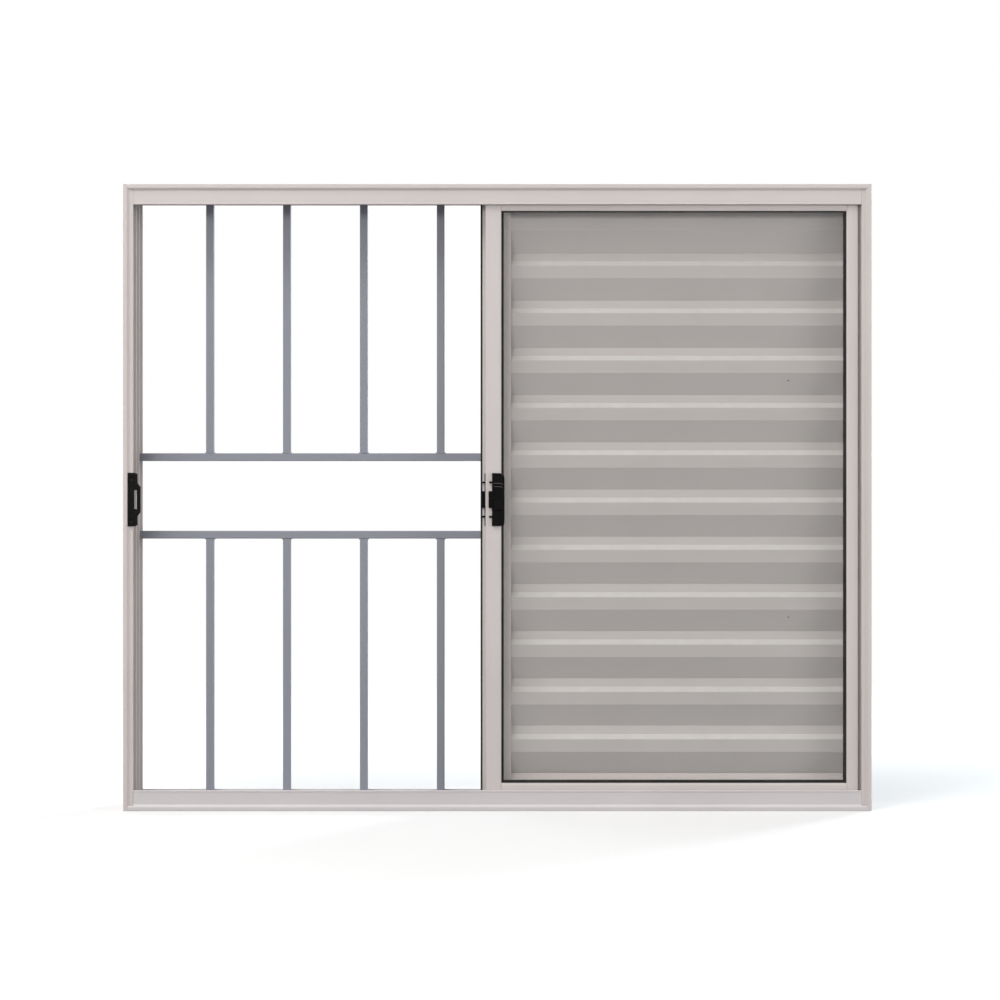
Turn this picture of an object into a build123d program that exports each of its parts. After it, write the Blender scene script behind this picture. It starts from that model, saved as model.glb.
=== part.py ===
from build123d import *
import os

# Sliding shutter window of pale aluminium: a three-track frame that holds a sliding glass sash on the
# room side, a sliding louvred shutter behind it, and a fixed louvred shutter beside a bar grille on
# the outside. X runs along the width, Y from the room to the outside, Z up. Depths are first counted
# from the room-side rim of the frame; the finished pieces are shifted so that the origin is in the
# middle of the sill's underside. All sizes are in millimetres.

# Outer frame
FRAME_WIDTH = 1200.0
FRAME_HEIGHT = 1005.0
FRAME_WALL = 1.8
TRACK_COUNT = 3
TRACK_CLEAR = 29.7

# Moulded room-side edge of the frame: a raised rim, a sloping step and a flat face
RIM_WIDTH = 6.0
RIM_PROUD = 3.5
RIM_ROUND = 0.6
STEP_WIDTH = 4.0
LIP_THICKNESS = 2.0
LIP_RETURN = 3.5
JAMB_FACE = 15.6
LIP_HEIGHT = 32.4
LIP_BEAD_RADIUS = 1.4
LIP_BEAD_PROUD = 0.8
HEAD_RIB = 21.2
SILL_UPSTAND = 22.4
TRACK_RAIL_HEIGHT = 15.0
TRACK_RAIL_WALL = 1.8
TRACK_BEAD_WIDTH = 3.6
TRACK_BEAD_HEIGHT = 2.4

# Joint clearance between neighbouring pieces
FIT = 0.2

# Screws that hold the jambs to the wall
WALL_SCREW_HOLE = 5.5
WALL_SCREW_SPACING = 700.0

# One screw at each corner, through the jamb into an open port along the head or the sill
PORT_RADIUS = 1.6
PORT_WALL = 1.2
PORT_GAP = 1.8
PORT_FLATS = 8
PORT_SEAT = 0.5
CORNER_SCREW_HOLE = 3.4
CORNER_SCREW_HEAD = 7.0

# Slots that let rain out through the sill's upstand
DRAIN_LENGTH = 30.0
DRAIN_HEIGHT = 5.0
DRAIN_SPACING = 760.0

# Leaves
LEAF_DEPTH = 22.0
LEAF_WALL = 1.4
LEAF_ROUND = 0.9
LEAF_TOP_GAP = 8.2
LEAF_BOTTOM_GAP = 6.2
POCKET_DEPTH = 12.0
GLAZING_GROOVE = 10.0
GLAZING_BEVEL_WIDTH = 3.0
GLAZING_BEVEL_DEPTH = 1.0
TONGUE_THICKNESS = 10.0
TONGUE_END_GAP = 6.0
RAIL_NOTCH_MARGIN = 1.6

# Glass sash, on the room-side track
SASH_LEFT = -19.0
LOCK_STILE_FACE = 25.3
SASH_EDGE_GAP = 4.3
RIGHT_STILE_FACE = 18.5
SASH_BOTTOM_RAIL_TOP = 43.2
SASH_TOP_RAIL_DROP = 41.5
GLASS_THICKNESS = 4.0
GLASS_EDGE_COVER = 8.0
GASKET_SIGHT = 4.0
GASKET_TOP_SIGHT = 1.2
GASKET_WALL = 1.0
GASKET_PLAY = 0.1

# Louvred shutters
SHUTTER_LEFT = -24.1
SHUTTER_LOCK_FACE = 46.2
SHUTTER_RIGHT_INSET = 39.0
SHUTTER_RIGHT_FACE = 19.1
FIXED_LEFT = -27.5
FIXED_STILE_FACE = 48.5
SLAT_HEIGHT_AIM = 76.8
SLAT_FIELD_BOTTOM = 54.7
SLAT_FIELD_DROP = 28.7
SLAT_UPPER_FACE = 13.0
SLAT_LEDGE = 8.1
SLAT_FLAT = 20.3
SLAT_OVERLAP = 7.5
SLAT_ROOM_INSET = 2.0
SLAT_LEDGE_DEPTH = 7.0
SLAT_UPPER_LEAN = 4.0
SLAT_SLANT_DEPTH = 13.0
SLAT_SKIN = 1.5
SLAT_BEND = 1.2
SLAT_END_ENGAGE = 6.0
SHUTTER_RAIL_LIP = 8.0

# Bar grille in the outer track
BAR_SIZE = 12.7
BAR_WALL = 1.2
BAR_CORNER = 1.5
BAR_FIRST_INSET = 129.1
BAR_PITCH = 126.0
BAR_LAST_GAP = 20.0
CROSSBAR_RISE = 2.7
CROSSBAR_SPACING = 127.2

# Rollers under the sliding leaves
WHEEL_RADIUS = 6.5
WHEEL_WIDTH = 6.0
WHEEL_GROOVE = 0.8
AXLE_RADIUS = 1.5
AXLE_PLAY = 0.1
TRACK_PLAY = 0.3
CARRIAGE_LENGTH = 36.0
CARRIAGE_DEPTH = 14.0
WHEEL_SLOT_PLAY = 0.5
ROLLER_INSET = 70.0

# Shell latches: a case, a thumb slide in two steps, a hook and two pegs
LATCH_DROP = 3.2
LATCH_WIDTH = 20.1
LATCH_HEIGHT = 85.0
LATCH_CASE = 4.4
LATCH_EDGE_INSET = 10.4
SHUTTER_LATCH_EDGE_INSET = 3.3
LATCH_TOP_ROUND = 8.5
LATCH_BOTTOM_ROUND = 5.0
LATCH_EDGE_BEVEL = 0.8
SLIDE_STEP = 1.3
SLIDE_BEVEL = 0.8
SLIDE_TOP = 26.4
SLIDE_BOTTOM = 18.0
SLIDE_LEFT_INSET = 2.1
SLIDE_RIGHT_INSET = 0.9
SLIDE_ROUND = 6.5
SLIDE_UPPER_DROP = 5.4
SLIDE_UPPER_INSET = 1.0
THUMB_LENGTH = 30.0
THUMB_DEPTH = 0.7
THUMB_MARGIN = 2.0
HOOK_LENGTH = 5.4
HOOK_HEIGHT = 27.0
HOOK_THICKNESS = 4.0
HOOK_ROUND = 1.0
PIN_RADIUS = 1.6
PIN_LENGTH = 4.6
PIN_ROOT = 1.0
PIN_SPACING = 55.3

# Keeper on the left jamb
KEEPER_INSET = 7.2
KEEPER_WIDTH = 15.9
KEEPER_HEIGHT = 86.0
KEEPER_LOOP_REACH = 4.8
KEEPER_LOOP_HEIGHT = 47.0
KEEPER_LOOP_SLOPE = 3.0
KEEPER_SLOT_WIDTH = 4.2
KEEPER_SLOT_HEIGHT = 30.0
KEEPER_SLOT_INSET = 1.1
KEEPER_CHAMFER = 4.0
KEEPER_EDGE_BEVEL = 0.6
KEEPER_SCREW_INSET = 6.0
KEEPER_SCREW_SPACING = 67.0
KEEPER_SCREW_HOLE = 3.4
KEEPER_SCREW_HEAD = 6.6

# Pile seal between the fixed and the sliding shutter
PILE_WIDTH = 4.0
PILE_REACH = 8.9

# Order of the tracks, from the room to the outside
SASH_TRACK = 0
SHUTTER_TRACK = 1
OUTER_TRACK = TRACK_COUNT - 1

# Places worked out from the sizes above
HALF_WIDTH = FRAME_WIDTH / 2
JAMB_INNER = HALF_WIDTH - JAMB_FACE
LIP_BACK = RIM_PROUD + LIP_THICKNESS
TRACK_STEP = TRACK_CLEAR + FRAME_WALL
FRAME_DEPTH = LIP_BACK + TRACK_COUNT * TRACK_STEP
HEAD_INNER = FRAME_HEIGHT - LIP_HEIGHT
LEAF_TOP = FRAME_HEIGHT - FRAME_WALL - LEAF_TOP_GAP
LEAF_BOTTOM = FRAME_WALL + LEAF_BOTTOM_GAP
SASH_TOP_RAIL_BOTTOM = FRAME_HEIGHT - SASH_TOP_RAIL_DROP
SASH_RIGHT_EDGE = JAMB_INNER - SASH_EDGE_GAP
SASH_LEFT_INNER = SASH_LEFT + LOCK_STILE_FACE
SASH_RIGHT_INNER = SASH_RIGHT_EDGE - RIGHT_STILE_FACE
TONGUE_END = HALF_WIDTH - FRAME_WALL - TONGUE_END_GAP
SHUTTER_LEFT_INNER = SHUTTER_LEFT + SHUTTER_LOCK_FACE
SHUTTER_RIGHT_INNER = HALF_WIDTH - SHUTTER_RIGHT_INSET
SLAT_FIELD_TOP = FRAME_HEIGHT - SLAT_FIELD_DROP
SLAT_COUNT = round((SLAT_FIELD_TOP - SLAT_FIELD_BOTTOM) / SLAT_HEIGHT_AIM)
SLAT_PITCH = (SLAT_FIELD_TOP - SLAT_FIELD_BOTTOM) / SLAT_COUNT
SHUTTER_RAIL_BOTTOM = SLAT_FIELD_TOP + FIT
SHUTTER_SILL_WEB = SLAT_FIELD_BOTTOM - SHUTTER_RAIL_LIP
ROLLER_WEB_TOP = SASH_BOTTOM_RAIL_TOP - POCKET_DEPTH
BAR_FIRST_X = BAR_FIRST_INSET - HALF_WIDTH
BAR_COUNT = int((FIXED_LEFT - BAR_LAST_GAP - BAR_FIRST_X) // BAR_PITCH) + 1
GRILLE_MIDDLE_Z = FRAME_HEIGHT / 2 + CROSSBAR_RISE
CROSSBAR_UPPER_Z = GRILLE_MIDDLE_Z + CROSSBAR_SPACING / 2
CROSSBAR_LOWER_Z = GRILLE_MIDDLE_Z - CROSSBAR_SPACING / 2
LATCH_CENTRE_Z = FRAME_HEIGHT / 2 - LATCH_DROP
KEEPER_LEFT = KEEPER_INSET - HALF_WIDTH
PORT_OUTER = PORT_RADIUS + PORT_WALL
PORT_LEVEL = FRAME_WALL + PORT_OUTER - PORT_SEAT


def track_front(track):
    """Depth at which a track's clear space starts, counted from the room."""
    return LIP_BACK + track * TRACK_STEP


def track_middle(track):
    """Depth of the middle of a track."""
    return track_front(track) + TRACK_CLEAR / 2


def leaf_front(track):
    """Depth of the room-side face of a leaf that runs in the middle of its track."""
    return track_middle(track) - LEAF_DEPTH / 2


def rectangle(x_from, y_from, x_to, y_to):
    """Flat rectangle between two corners."""
    width = abs(x_to - x_from)
    height = abs(y_to - y_from)
    return Pos((x_from + x_to) / 2, (y_from + y_to) / 2) * Rectangle(width, height)


def outline(points):
    """Flat face inside a closed run of straight lines."""
    return make_face(Polyline(*points, close=True))


def round_corners(section, corners, radius):
    """Section with the corners at the given points rounded."""
    for x, y in corners:
        corner = section.vertices().sort_by_distance(Vector(x, y, 0))[0]
        section = fillet(corner, radius)
    return section


def along_width(section, x_from, x_to):
    """Extrusion along the window's width of a section drawn in depth and height."""
    return extrude(Plane.YZ.offset(x_from) * section, amount=x_to - x_from, dir=(1, 0, 0))


def along_height(section, z_from, z_to):
    """Extrusion along the window's height of a section drawn in width and depth."""
    return extrude(Plane.XY.offset(z_from) * section, amount=z_to - z_from, dir=(0, 0, 1))


def block(x_from, x_to, y_from, y_to, z_from, z_to):
    """Box between two corners."""
    size = Box(abs(x_to - x_from), abs(y_to - y_from), abs(z_to - z_from))
    return Pos((x_from + x_to) / 2, (y_from + y_to) / 2, (z_from + z_to) / 2) * size


def save(name, shape):
    """Write one named piece, with the origin moved to the middle of the frame's depth."""
    export_step(Pos(0, -FRAME_DEPTH / 2, 0) * shape, "parts/" + name + ".step")


def frame_edge(outer, inner):
    """Points of the moulded front edge, from the outer rim to the inner lip and back inside.

    Each point is a distance across the face and a depth; inner lies below outer. The first four
    are the corners that show from the room."""
    step_outer = outer - RIM_WIDTH
    step_inner = step_outer - STEP_WIDTH
    skin_shift = FRAME_WALL / 2
    return [
        (outer, 0),
        (step_outer, 0),
        (step_inner, RIM_PROUD),
        (inner, RIM_PROUD),
        (inner, LIP_BACK),
        (step_inner + skin_shift, LIP_BACK),
        (step_outer + skin_shift, FRAME_WALL),
        (outer - FRAME_WALL, FRAME_WALL),
    ]


def frame_ribs(outer, tip):
    """Points of the ribs that divide the tracks, from the room to the outside."""
    points = []
    for track in range(TRACK_COUNT):
        rib_front = track_front(track) + TRACK_CLEAR
        rib_back = rib_front + FRAME_WALL
        points += [(outer - FRAME_WALL, rib_front), (tip, rib_front), (tip, rib_back)]
        if track < OUTER_TRACK:
            points.append((outer - FRAME_WALL, rib_back))
    points.append((outer, FRAME_DEPTH))
    return points


def port_depth():
    """Depth of the screw ports, at the start of the middle track."""
    return track_front(SHUTTER_TRACK) + FIT + PORT_OUTER


def corner_screw_hole(side, level):
    """Countersink through the whole of a jamb's web, in line with a screw port."""
    sink = Rot(0, side * 90, 0) * Cone(CORNER_SCREW_HOLE / 2, CORNER_SCREW_HEAD / 2, FRAME_WALL)
    return Pos(side * (HALF_WIDTH - FRAME_WALL / 2), port_depth(), level) * sink


def jamb(side):
    """One jamb: a web against the wall with a moulded front and three ribs."""
    edge = frame_edge(HALF_WIDTH, JAMB_INNER)
    profile = [(side * x, y) for x, y in edge + frame_ribs(HALF_WIDTH, JAMB_INNER)]
    section = round_corners(outline(profile), profile[:4], RIM_ROUND)
    shape = along_height(section, 0, FRAME_HEIGHT)
    for half_step in (-1, 1):
        hole_z = FRAME_HEIGHT / 2 + half_step * WALL_SCREW_SPACING / 2
        hole = Rot(0, 90, 0) * Cylinder(WALL_SCREW_HOLE / 2, 4 * FRAME_WALL)
        shape -= Pos(side * HALF_WIDTH, track_middle(SHUTTER_TRACK), hole_z) * hole
    for level in (PORT_LEVEL, FRAME_HEIGHT - PORT_LEVEL):
        shape -= corner_screw_hole(side, level)
    return shape


def cope_section(side):
    """Section of what a jamb's moulded edge takes away from the end of the head or the sill.

    The rim of the head and the sill runs on to the jamb's rim, and all behind it stops at the
    jamb's inner lip."""
    rim_end = HALF_WIDTH - RIM_WIDTH - FIT
    slope = STEP_WIDTH / RIM_PROUD
    beyond = FRAME_WIDTH
    corners = [
        (rim_end, -FIT),
        (rim_end, 0),
        (rim_end - slope * FRAME_WALL, FRAME_WALL),
        (JAMB_INNER - FIT, FRAME_WALL),
        (JAMB_INNER - FIT, LIP_BACK + FIT),
        (beyond, LIP_BACK + FIT),
        (beyond, -FIT),
    ]
    return outline([(side * x, y) for x, y in corners])


def trim_to_jambs(shape, web_from, web_to):
    """Cut the ends of the head or sill back so that only rim and web reach into the jambs."""
    for side in (-1, 1):
        joint = side * (JAMB_INNER - FIT)
        beyond = side * FRAME_WIDTH
        shape -= along_height(cope_section(side), -FIT, FRAME_HEIGHT + FIT)
        shape -= block(joint, beyond, LIP_BACK, FRAME_DEPTH + FIT, web_to, FRAME_HEIGHT / 2)
        for track in range(TRACK_COUNT):
            rib_front = track_front(track) + TRACK_CLEAR
            shape -= block(joint, beyond, rib_front - FIT, rib_front + FRAME_WALL + FIT, web_from, web_to)
    return shape


def lip_bead(edge, inward):
    """Section of the half-round bead along a lip; inward is 1 where the lip lies above its edge."""
    centre = RIM_PROUD - LIP_BEAD_PROUD + LIP_BEAD_RADIUS
    return Pos(centre, edge + inward * LIP_BEAD_RADIUS) * Circle(LIP_BEAD_RADIUS)


def screw_port(level, away):
    """Section of an open screw port whose gap faces away from the web; away is 1 for upwards."""
    turn = Rot(0, 0, 180 / PORT_FLATS)
    ring = turn * RegularPolygon(PORT_OUTER, PORT_FLATS, major_radius=False)
    ring -= turn * RegularPolygon(PORT_RADIUS, PORT_FLATS, major_radius=False)
    ring -= Pos(0, away * PORT_OUTER) * Rectangle(PORT_GAP, 2 * PORT_OUTER)
    return Pos(port_depth(), level) * ring


def head():
    """Head of the frame: a deep front lip and three shorter guide ribs under a flat web."""
    reach = HALF_WIDTH - FRAME_WALL - FIT
    edge = [(y, z) for z, y in frame_edge(FRAME_HEIGHT, HEAD_INNER)]
    ribs = [(y, z) for z, y in frame_ribs(FRAME_HEIGHT, FRAME_HEIGHT - HEAD_RIB)]
    section = round_corners(outline(edge + ribs), edge[:3], RIM_ROUND)
    section += rectangle(RIM_PROUD, HEAD_INNER, RIM_PROUD + LIP_RETURN, HEAD_INNER + FRAME_WALL)
    section += lip_bead(HEAD_INNER, 1)
    shape = along_width(section, -reach, reach)
    shape = trim_to_jambs(shape, FRAME_HEIGHT, FRAME_HEIGHT - FRAME_WALL)
    return shape + along_width(screw_port(FRAME_HEIGHT - PORT_LEVEL, -1), -reach, reach)


def track_rail(track):
    """Section of the rail that a leaf's rollers run on, with a wider bead along its top."""
    centre = track_middle(track)
    stem_half = TRACK_RAIL_WALL / 2
    bead_half = TRACK_BEAD_WIDTH / 2
    bead_bottom = TRACK_RAIL_HEIGHT - TRACK_BEAD_HEIGHT
    stem = rectangle(centre - stem_half, FRAME_WALL / 2, centre + stem_half, bead_bottom + FIT)
    bead = rectangle(centre - bead_half, bead_bottom, centre + bead_half, TRACK_RAIL_HEIGHT)
    return stem + bead


def drain_slot(x):
    """Slot through the outer upstand, just above the sill's web."""
    half = DRAIN_LENGTH / 2
    bottom = FRAME_WALL + FIT
    return block(x - half, x + half, FRAME_DEPTH - 2 * FRAME_WALL, FRAME_DEPTH + FRAME_WALL,
                 bottom, bottom + DRAIN_HEIGHT)


def sill():
    """Sill of the frame: a front lip, three roller rails and an outer upstand on a flat web."""
    reach = HALF_WIDTH - FRAME_WALL - FIT
    edge = [(y, FRAME_HEIGHT - z) for z, y in frame_edge(FRAME_HEIGHT, HEAD_INNER)]
    upstand = [
        (FRAME_DEPTH - FRAME_WALL, FRAME_WALL),
        (FRAME_DEPTH - FRAME_WALL, SILL_UPSTAND),
        (FRAME_DEPTH, SILL_UPSTAND),
        (FRAME_DEPTH, 0),
    ]
    section = round_corners(outline(edge + upstand), edge[:3], RIM_ROUND)
    section += rectangle(RIM_PROUD, LIP_HEIGHT - FRAME_WALL, RIM_PROUD + LIP_RETURN, LIP_HEIGHT)
    section += lip_bead(LIP_HEIGHT, -1)
    for track in range(TRACK_COUNT):
        section += track_rail(track)
    shape = trim_to_jambs(along_width(section, -reach, reach), 0, FRAME_WALL)
    shape += along_width(screw_port(PORT_LEVEL, 1), -reach, reach)
    for side in (-1, 1):
        shape -= drain_slot(side * DRAIN_SPACING / 2)
    return shape


def glazing_bevel(edge, into, front):
    """Section of the slope cut along a leaf's glazing edge; into is 1 where the leaf lies above."""
    return outline([
        (edge, front - FIT),
        (edge + into * GLAZING_BEVEL_WIDTH, front - FIT),
        (edge + into * GLAZING_BEVEL_WIDTH, front),
        (edge, front + GLAZING_BEVEL_DEPTH),
    ])


def stile(inner_x, side, face, front, groove, tongue_end, bottom, top):
    """Upright of a leaf: a hollow box with a pocket along its inner edge.

    side is 1 for an upright whose box lies to the right of its pocket. A tongue, where the stile
    has one, runs from the box into the jamb up to tongue_end."""
    wall = side * LEAF_WALL
    back = front + LEAF_DEPTH
    box_inner = inner_x + side * POCKET_DEPTH
    outer_x = inner_x + side * face
    section = rectangle(box_inner, front, outer_x, back)
    section -= rectangle(box_inner + wall, front + LEAF_WALL, outer_x - wall, back - LEAF_WALL)
    section += rectangle(inner_x, front, box_inner, front + LEAF_WALL)
    section += rectangle(inner_x, back - LEAF_WALL, box_inner, back)
    lip = (LEAF_DEPTH - groove) / 2
    section += rectangle(inner_x, front, inner_x + wall, front + lip)
    section += rectangle(inner_x, back - lip, inner_x + wall, back)
    if tongue_end is not None:
        centre = (front + back) / 2
        half = TONGUE_THICKNESS / 2
        section += rectangle(outer_x - wall, centre - half, tongue_end, centre + half)
        section -= rectangle(outer_x, centre - half + LEAF_WALL, tongue_end - wall, centre + half - LEAF_WALL)
    section = round_corners(section, [(outer_x, front), (outer_x, back)], LEAF_ROUND)
    if groove == GLAZING_GROOVE:
        section -= glazing_bevel(inner_x, side, front)
    shape = along_height(section, bottom, top)
    notch_half = TRACK_BEAD_WIDTH / 2 + RAIL_NOTCH_MARGIN
    middle = front + LEAF_DEPTH / 2
    notch_top = TRACK_RAIL_HEIGHT + RAIL_NOTCH_MARGIN
    shape -= block(inner_x - 2 * wall, (tongue_end or outer_x) + 2 * wall,
                   middle - notch_half, middle + notch_half, 0, notch_top)
    return shape


def rail_walls(front, bottom, top):
    """Section of the two long walls of a leaf's rail."""
    back = front + LEAF_DEPTH
    near = rectangle(front, bottom, front + LEAF_WALL, top)
    return near + rectangle(back - LEAF_WALL, bottom, back, top)


def rail_web(front, level):
    """Section of a web between a rail's two walls, with its top face at level."""
    return rectangle(front, level - LEAF_WALL, front + LEAF_DEPTH, level)


def glazing_lips(front, edge, into):
    """Section of the two small lips that close a glazing pocket down to its groove."""
    back = front + LEAF_DEPTH
    lip = (LEAF_DEPTH - GLAZING_GROOVE) / 2
    inner = edge + into * LEAF_WALL
    return rectangle(front, edge, front + lip, inner) + rectangle(back - lip, edge, back, inner)


def rail_bevel(front, edge, into):
    """Section of the slope along a rail's glazing edge."""
    return outline([(depth, level) for level, depth in (
        (edge, front - FIT),
        (edge + into * GLAZING_BEVEL_WIDTH, front - FIT),
        (edge + into * GLAZING_BEVEL_WIDTH, front),
        (edge, front + GLAZING_BEVEL_DEPTH),
    )])


def sash_rails(front):
    """Top and bottom rails of the glass sash."""
    x_from = SASH_LEFT_INNER + FIT
    x_to = SASH_RIGHT_INNER - FIT
    upper = rail_walls(front, SASH_TOP_RAIL_BOTTOM, LEAF_TOP)
    upper += rail_web(front, SASH_TOP_RAIL_BOTTOM + POCKET_DEPTH + LEAF_WALL)
    upper += glazing_lips(front, SASH_TOP_RAIL_BOTTOM, 1)
    upper -= rail_bevel(front, SASH_TOP_RAIL_BOTTOM, 1)
    lower = rail_walls(front, LEAF_BOTTOM, SASH_BOTTOM_RAIL_TOP)
    lower += rail_web(front, ROLLER_WEB_TOP)
    lower += glazing_lips(front, SASH_BOTTOM_RAIL_TOP, -1)
    lower -= rail_bevel(front, SASH_BOTTOM_RAIL_TOP, -1)
    return along_width(upper, x_from, x_to), along_width(lower, x_from, x_to)


def shutter_rails(front, left_inner, right_inner, bottom):
    """Top and bottom rails of a louvred shutter; the lower one has a lip behind the last slat."""
    x_from = left_inner + FIT
    x_to = right_inner - FIT
    upper = rail_walls(front, SHUTTER_RAIL_BOTTOM, LEAF_TOP)
    upper += rail_web(front, SHUTTER_RAIL_BOTTOM + LEAF_WALL)
    lower = rail_walls(front, bottom, SHUTTER_SILL_WEB)
    lower += rail_web(front, ROLLER_WEB_TOP) + rail_web(front, SHUTTER_SILL_WEB)
    lip_front = front + SLAT_ROOM_INSET + SLAT_LEDGE_DEPTH
    lower += rectangle(lip_front, SHUTTER_SILL_WEB - LEAF_WALL, lip_front + LEAF_WALL, SLAT_FIELD_BOTTOM)
    return along_width(upper, x_from, x_to), along_width(lower, x_from, x_to)


def slat_section(front, top):
    """Section of one slat: a leaning upper face, a ledge, a flat and a long slant that sheds rain."""
    flat_depth = front + SLAT_ROOM_INSET
    ledge_top = flat_depth + SLAT_LEDGE_DEPTH
    flat_top = top - SLAT_UPPER_FACE - SLAT_LEDGE
    flat_bottom = flat_top - SLAT_FLAT
    slant_height = SLAT_PITCH - SLAT_UPPER_FACE - SLAT_LEDGE - SLAT_FLAT
    slant = SLAT_SLANT_DEPTH / slant_height
    tail_depth = flat_depth + SLAT_SLANT_DEPTH + slant * SLAT_OVERLAP
    room_side = FilletPolyline(
        (ledge_top + SLAT_UPPER_LEAN, top),
        (ledge_top, top - SLAT_UPPER_FACE),
        (flat_depth, flat_top),
        (flat_depth, flat_bottom),
        (tail_depth, flat_bottom - slant_height - SLAT_OVERLAP),
        radius=(0, SLAT_BEND, SLAT_BEND),
    )
    outside = Pos(SLAT_SKIN, 0) * room_side
    upper_end = Line(room_side @ 0, outside @ 0)
    lower_end = Line(room_side @ 1, outside @ 1)
    return make_face([*room_side.edges(), *outside.edges(), upper_end, lower_end])


def slats(front, left_inner, right_inner):
    """The stack of slats between a shutter's two stiles."""
    x_from = left_inner - SLAT_END_ENGAGE
    x_to = right_inner + SLAT_END_ENGAGE
    stack = []
    for row in range(SLAT_COUNT):
        top = SLAT_FIELD_BOTTOM + (row + 1) * SLAT_PITCH
        stack.append(along_width(slat_section(front, top), x_from, x_to))
    return Compound(children=stack)


def glass_pane(front):
    """The glass, held on all sides in the sash's pockets."""
    middle = front + LEAF_DEPTH / 2
    half = GLASS_THICKNESS / 2
    return block(
        SASH_LEFT_INNER - GLASS_EDGE_COVER,
        SASH_RIGHT_INNER + GLASS_EDGE_COVER,
        middle - half,
        middle + half,
        SASH_BOTTOM_RAIL_TOP - GLASS_EDGE_COVER,
        SASH_TOP_RAIL_BOTTOM + GLASS_EDGE_COVER,
    )


def glazing_gasket(front):
    """Rubber channel round the glass that fills the glazing groove."""
    middle = front + LEAF_DEPTH / 2
    half = GLAZING_GROOVE / 2 - GASKET_PLAY
    bury = GLASS_EDGE_COVER + GASKET_PLAY + GASKET_WALL
    ring = block(
        SASH_LEFT_INNER - bury,
        SASH_RIGHT_INNER + bury,
        middle - half,
        middle + half,
        SASH_BOTTOM_RAIL_TOP - bury,
        SASH_TOP_RAIL_BOTTOM + bury,
    )
    ring -= block(
        SASH_LEFT_INNER + GASKET_SIGHT,
        SASH_RIGHT_INNER - GASKET_SIGHT,
        middle - 2 * half,
        middle + 2 * half,
        SASH_BOTTOM_RAIL_TOP + GASKET_SIGHT,
        SASH_TOP_RAIL_BOTTOM - GASKET_TOP_SIGHT,
    )
    slot_half = GLASS_THICKNESS / 2 + GASKET_PLAY
    edge = GLASS_EDGE_COVER + GASKET_PLAY
    ring -= block(
        SASH_LEFT_INNER - edge,
        SASH_RIGHT_INNER + edge,
        middle - slot_half,
        middle + slot_half,
        SASH_BOTTOM_RAIL_TOP - edge,
        SASH_TOP_RAIL_BOTTOM + edge,
    )
    return ring


def wheel_level():
    """Height of the roller axles above the sill's underside."""
    return TRACK_RAIL_HEIGHT + TRACK_PLAY + WHEEL_RADIUS - WHEEL_GROOVE


def roller_places(left_inner, right_inner):
    """Two roller positions along a leaf, each a set distance in from its stiles."""
    return (left_inner + ROLLER_INSET, right_inner - ROLLER_INSET)


def roller_carriages(front, left_inner, right_inner):
    """Slotted blocks under the bottom rail's web, each with the pin that its wheel turns on."""
    middle = front + LEAF_DEPTH / 2
    axle = wheel_level()
    top = ROLLER_WEB_TOP - LEAF_WALL - FIT
    bottom = axle - 2 * AXLE_RADIUS
    slot_half = WHEEL_WIDTH / 2 + WHEEL_SLOT_PLAY
    slot_reach = WHEEL_RADIUS + WHEEL_SLOT_PLAY
    pieces = []
    for x in roller_places(left_inner, right_inner):
        body = block(x - CARRIAGE_LENGTH / 2, x + CARRIAGE_LENGTH / 2, middle - CARRIAGE_DEPTH / 2,
                     middle + CARRIAGE_DEPTH / 2, bottom, top)
        body -= block(x - slot_reach, x + slot_reach, middle - slot_half, middle + slot_half,
                      bottom - FIT, axle + slot_reach)
        pin = Rot(90, 0, 0) * Cylinder(AXLE_RADIUS, CARRIAGE_DEPTH - 2 * FIT)
        pieces.append(body + Pos(x, middle, axle) * pin)
    return Compound(children=pieces)


def roller_wheels(front, left_inner, right_inner):
    """Grooved wheels with a bore for the carriage's pin."""
    middle = front + LEAF_DEPTH / 2
    half = WHEEL_WIDTH / 2
    groove_half = TRACK_BEAD_WIDTH / 2
    groove_floor = WHEEL_RADIUS - WHEEL_GROOVE
    bore = AXLE_RADIUS + AXLE_PLAY
    profile = outline([
        (bore, -half),
        (WHEEL_RADIUS, -half),
        (groove_floor, -groove_half),
        (groove_floor, groove_half),
        (WHEEL_RADIUS, half),
        (bore, half),
    ])
    pieces = []
    for x in roller_places(left_inner, right_inner):
        pieces.append(Pos(x, middle, wheel_level()) * revolve(profile, Axis.Y))
    return Compound(children=pieces)


def tube(length):
    """Square tube with rounded corners, standing on the origin."""
    outer = RectangleRounded(BAR_SIZE, BAR_SIZE, BAR_CORNER)
    bore = BAR_SIZE - 2 * BAR_WALL
    return extrude(outer - Rectangle(bore, bore), amount=length, dir=(0, 0, 1))


def crossbar(level):
    """Level bar of the grille, from the left jamb's web to the fixed shutter."""
    x_from = -HALF_WIDTH + FRAME_WALL + FIT
    x_to = FIXED_LEFT - FIT
    return Pos(x_from, track_middle(OUTER_TRACK), level) * (Rot(0, 90, 0) * tube(x_to - x_from))


def grille_bars(z_from, z_to):
    """Row of upright bars, evenly spaced."""
    bars = []
    for bar in range(BAR_COUNT):
        x = BAR_FIRST_X + bar * BAR_PITCH
        bars.append(Pos(x, track_middle(OUTER_TRACK), z_from) * tube(z_to - z_from))
    return Compound(children=bars)


def bevel_front(shape, amount):
    """Bevel every edge of a piece's room-side face."""
    return chamfer(shape.faces().sort_by(Axis.Y)[0].edges(), amount)


def thumb_slide(left, right, rear, bottom, top, corner):
    """One step of the latch's thumb slide: a low pad with a bevelled front and a round corner."""
    pad = block(left, right, rear - SLIDE_STEP, rear, bottom, top)
    pad = fillet(pad.edges().filter_by(Axis.Y).group_by(Axis.X)[-1].sort_by(Axis.Z)[-1], corner)
    return bevel_front(pad, SLIDE_BEVEL)


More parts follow.
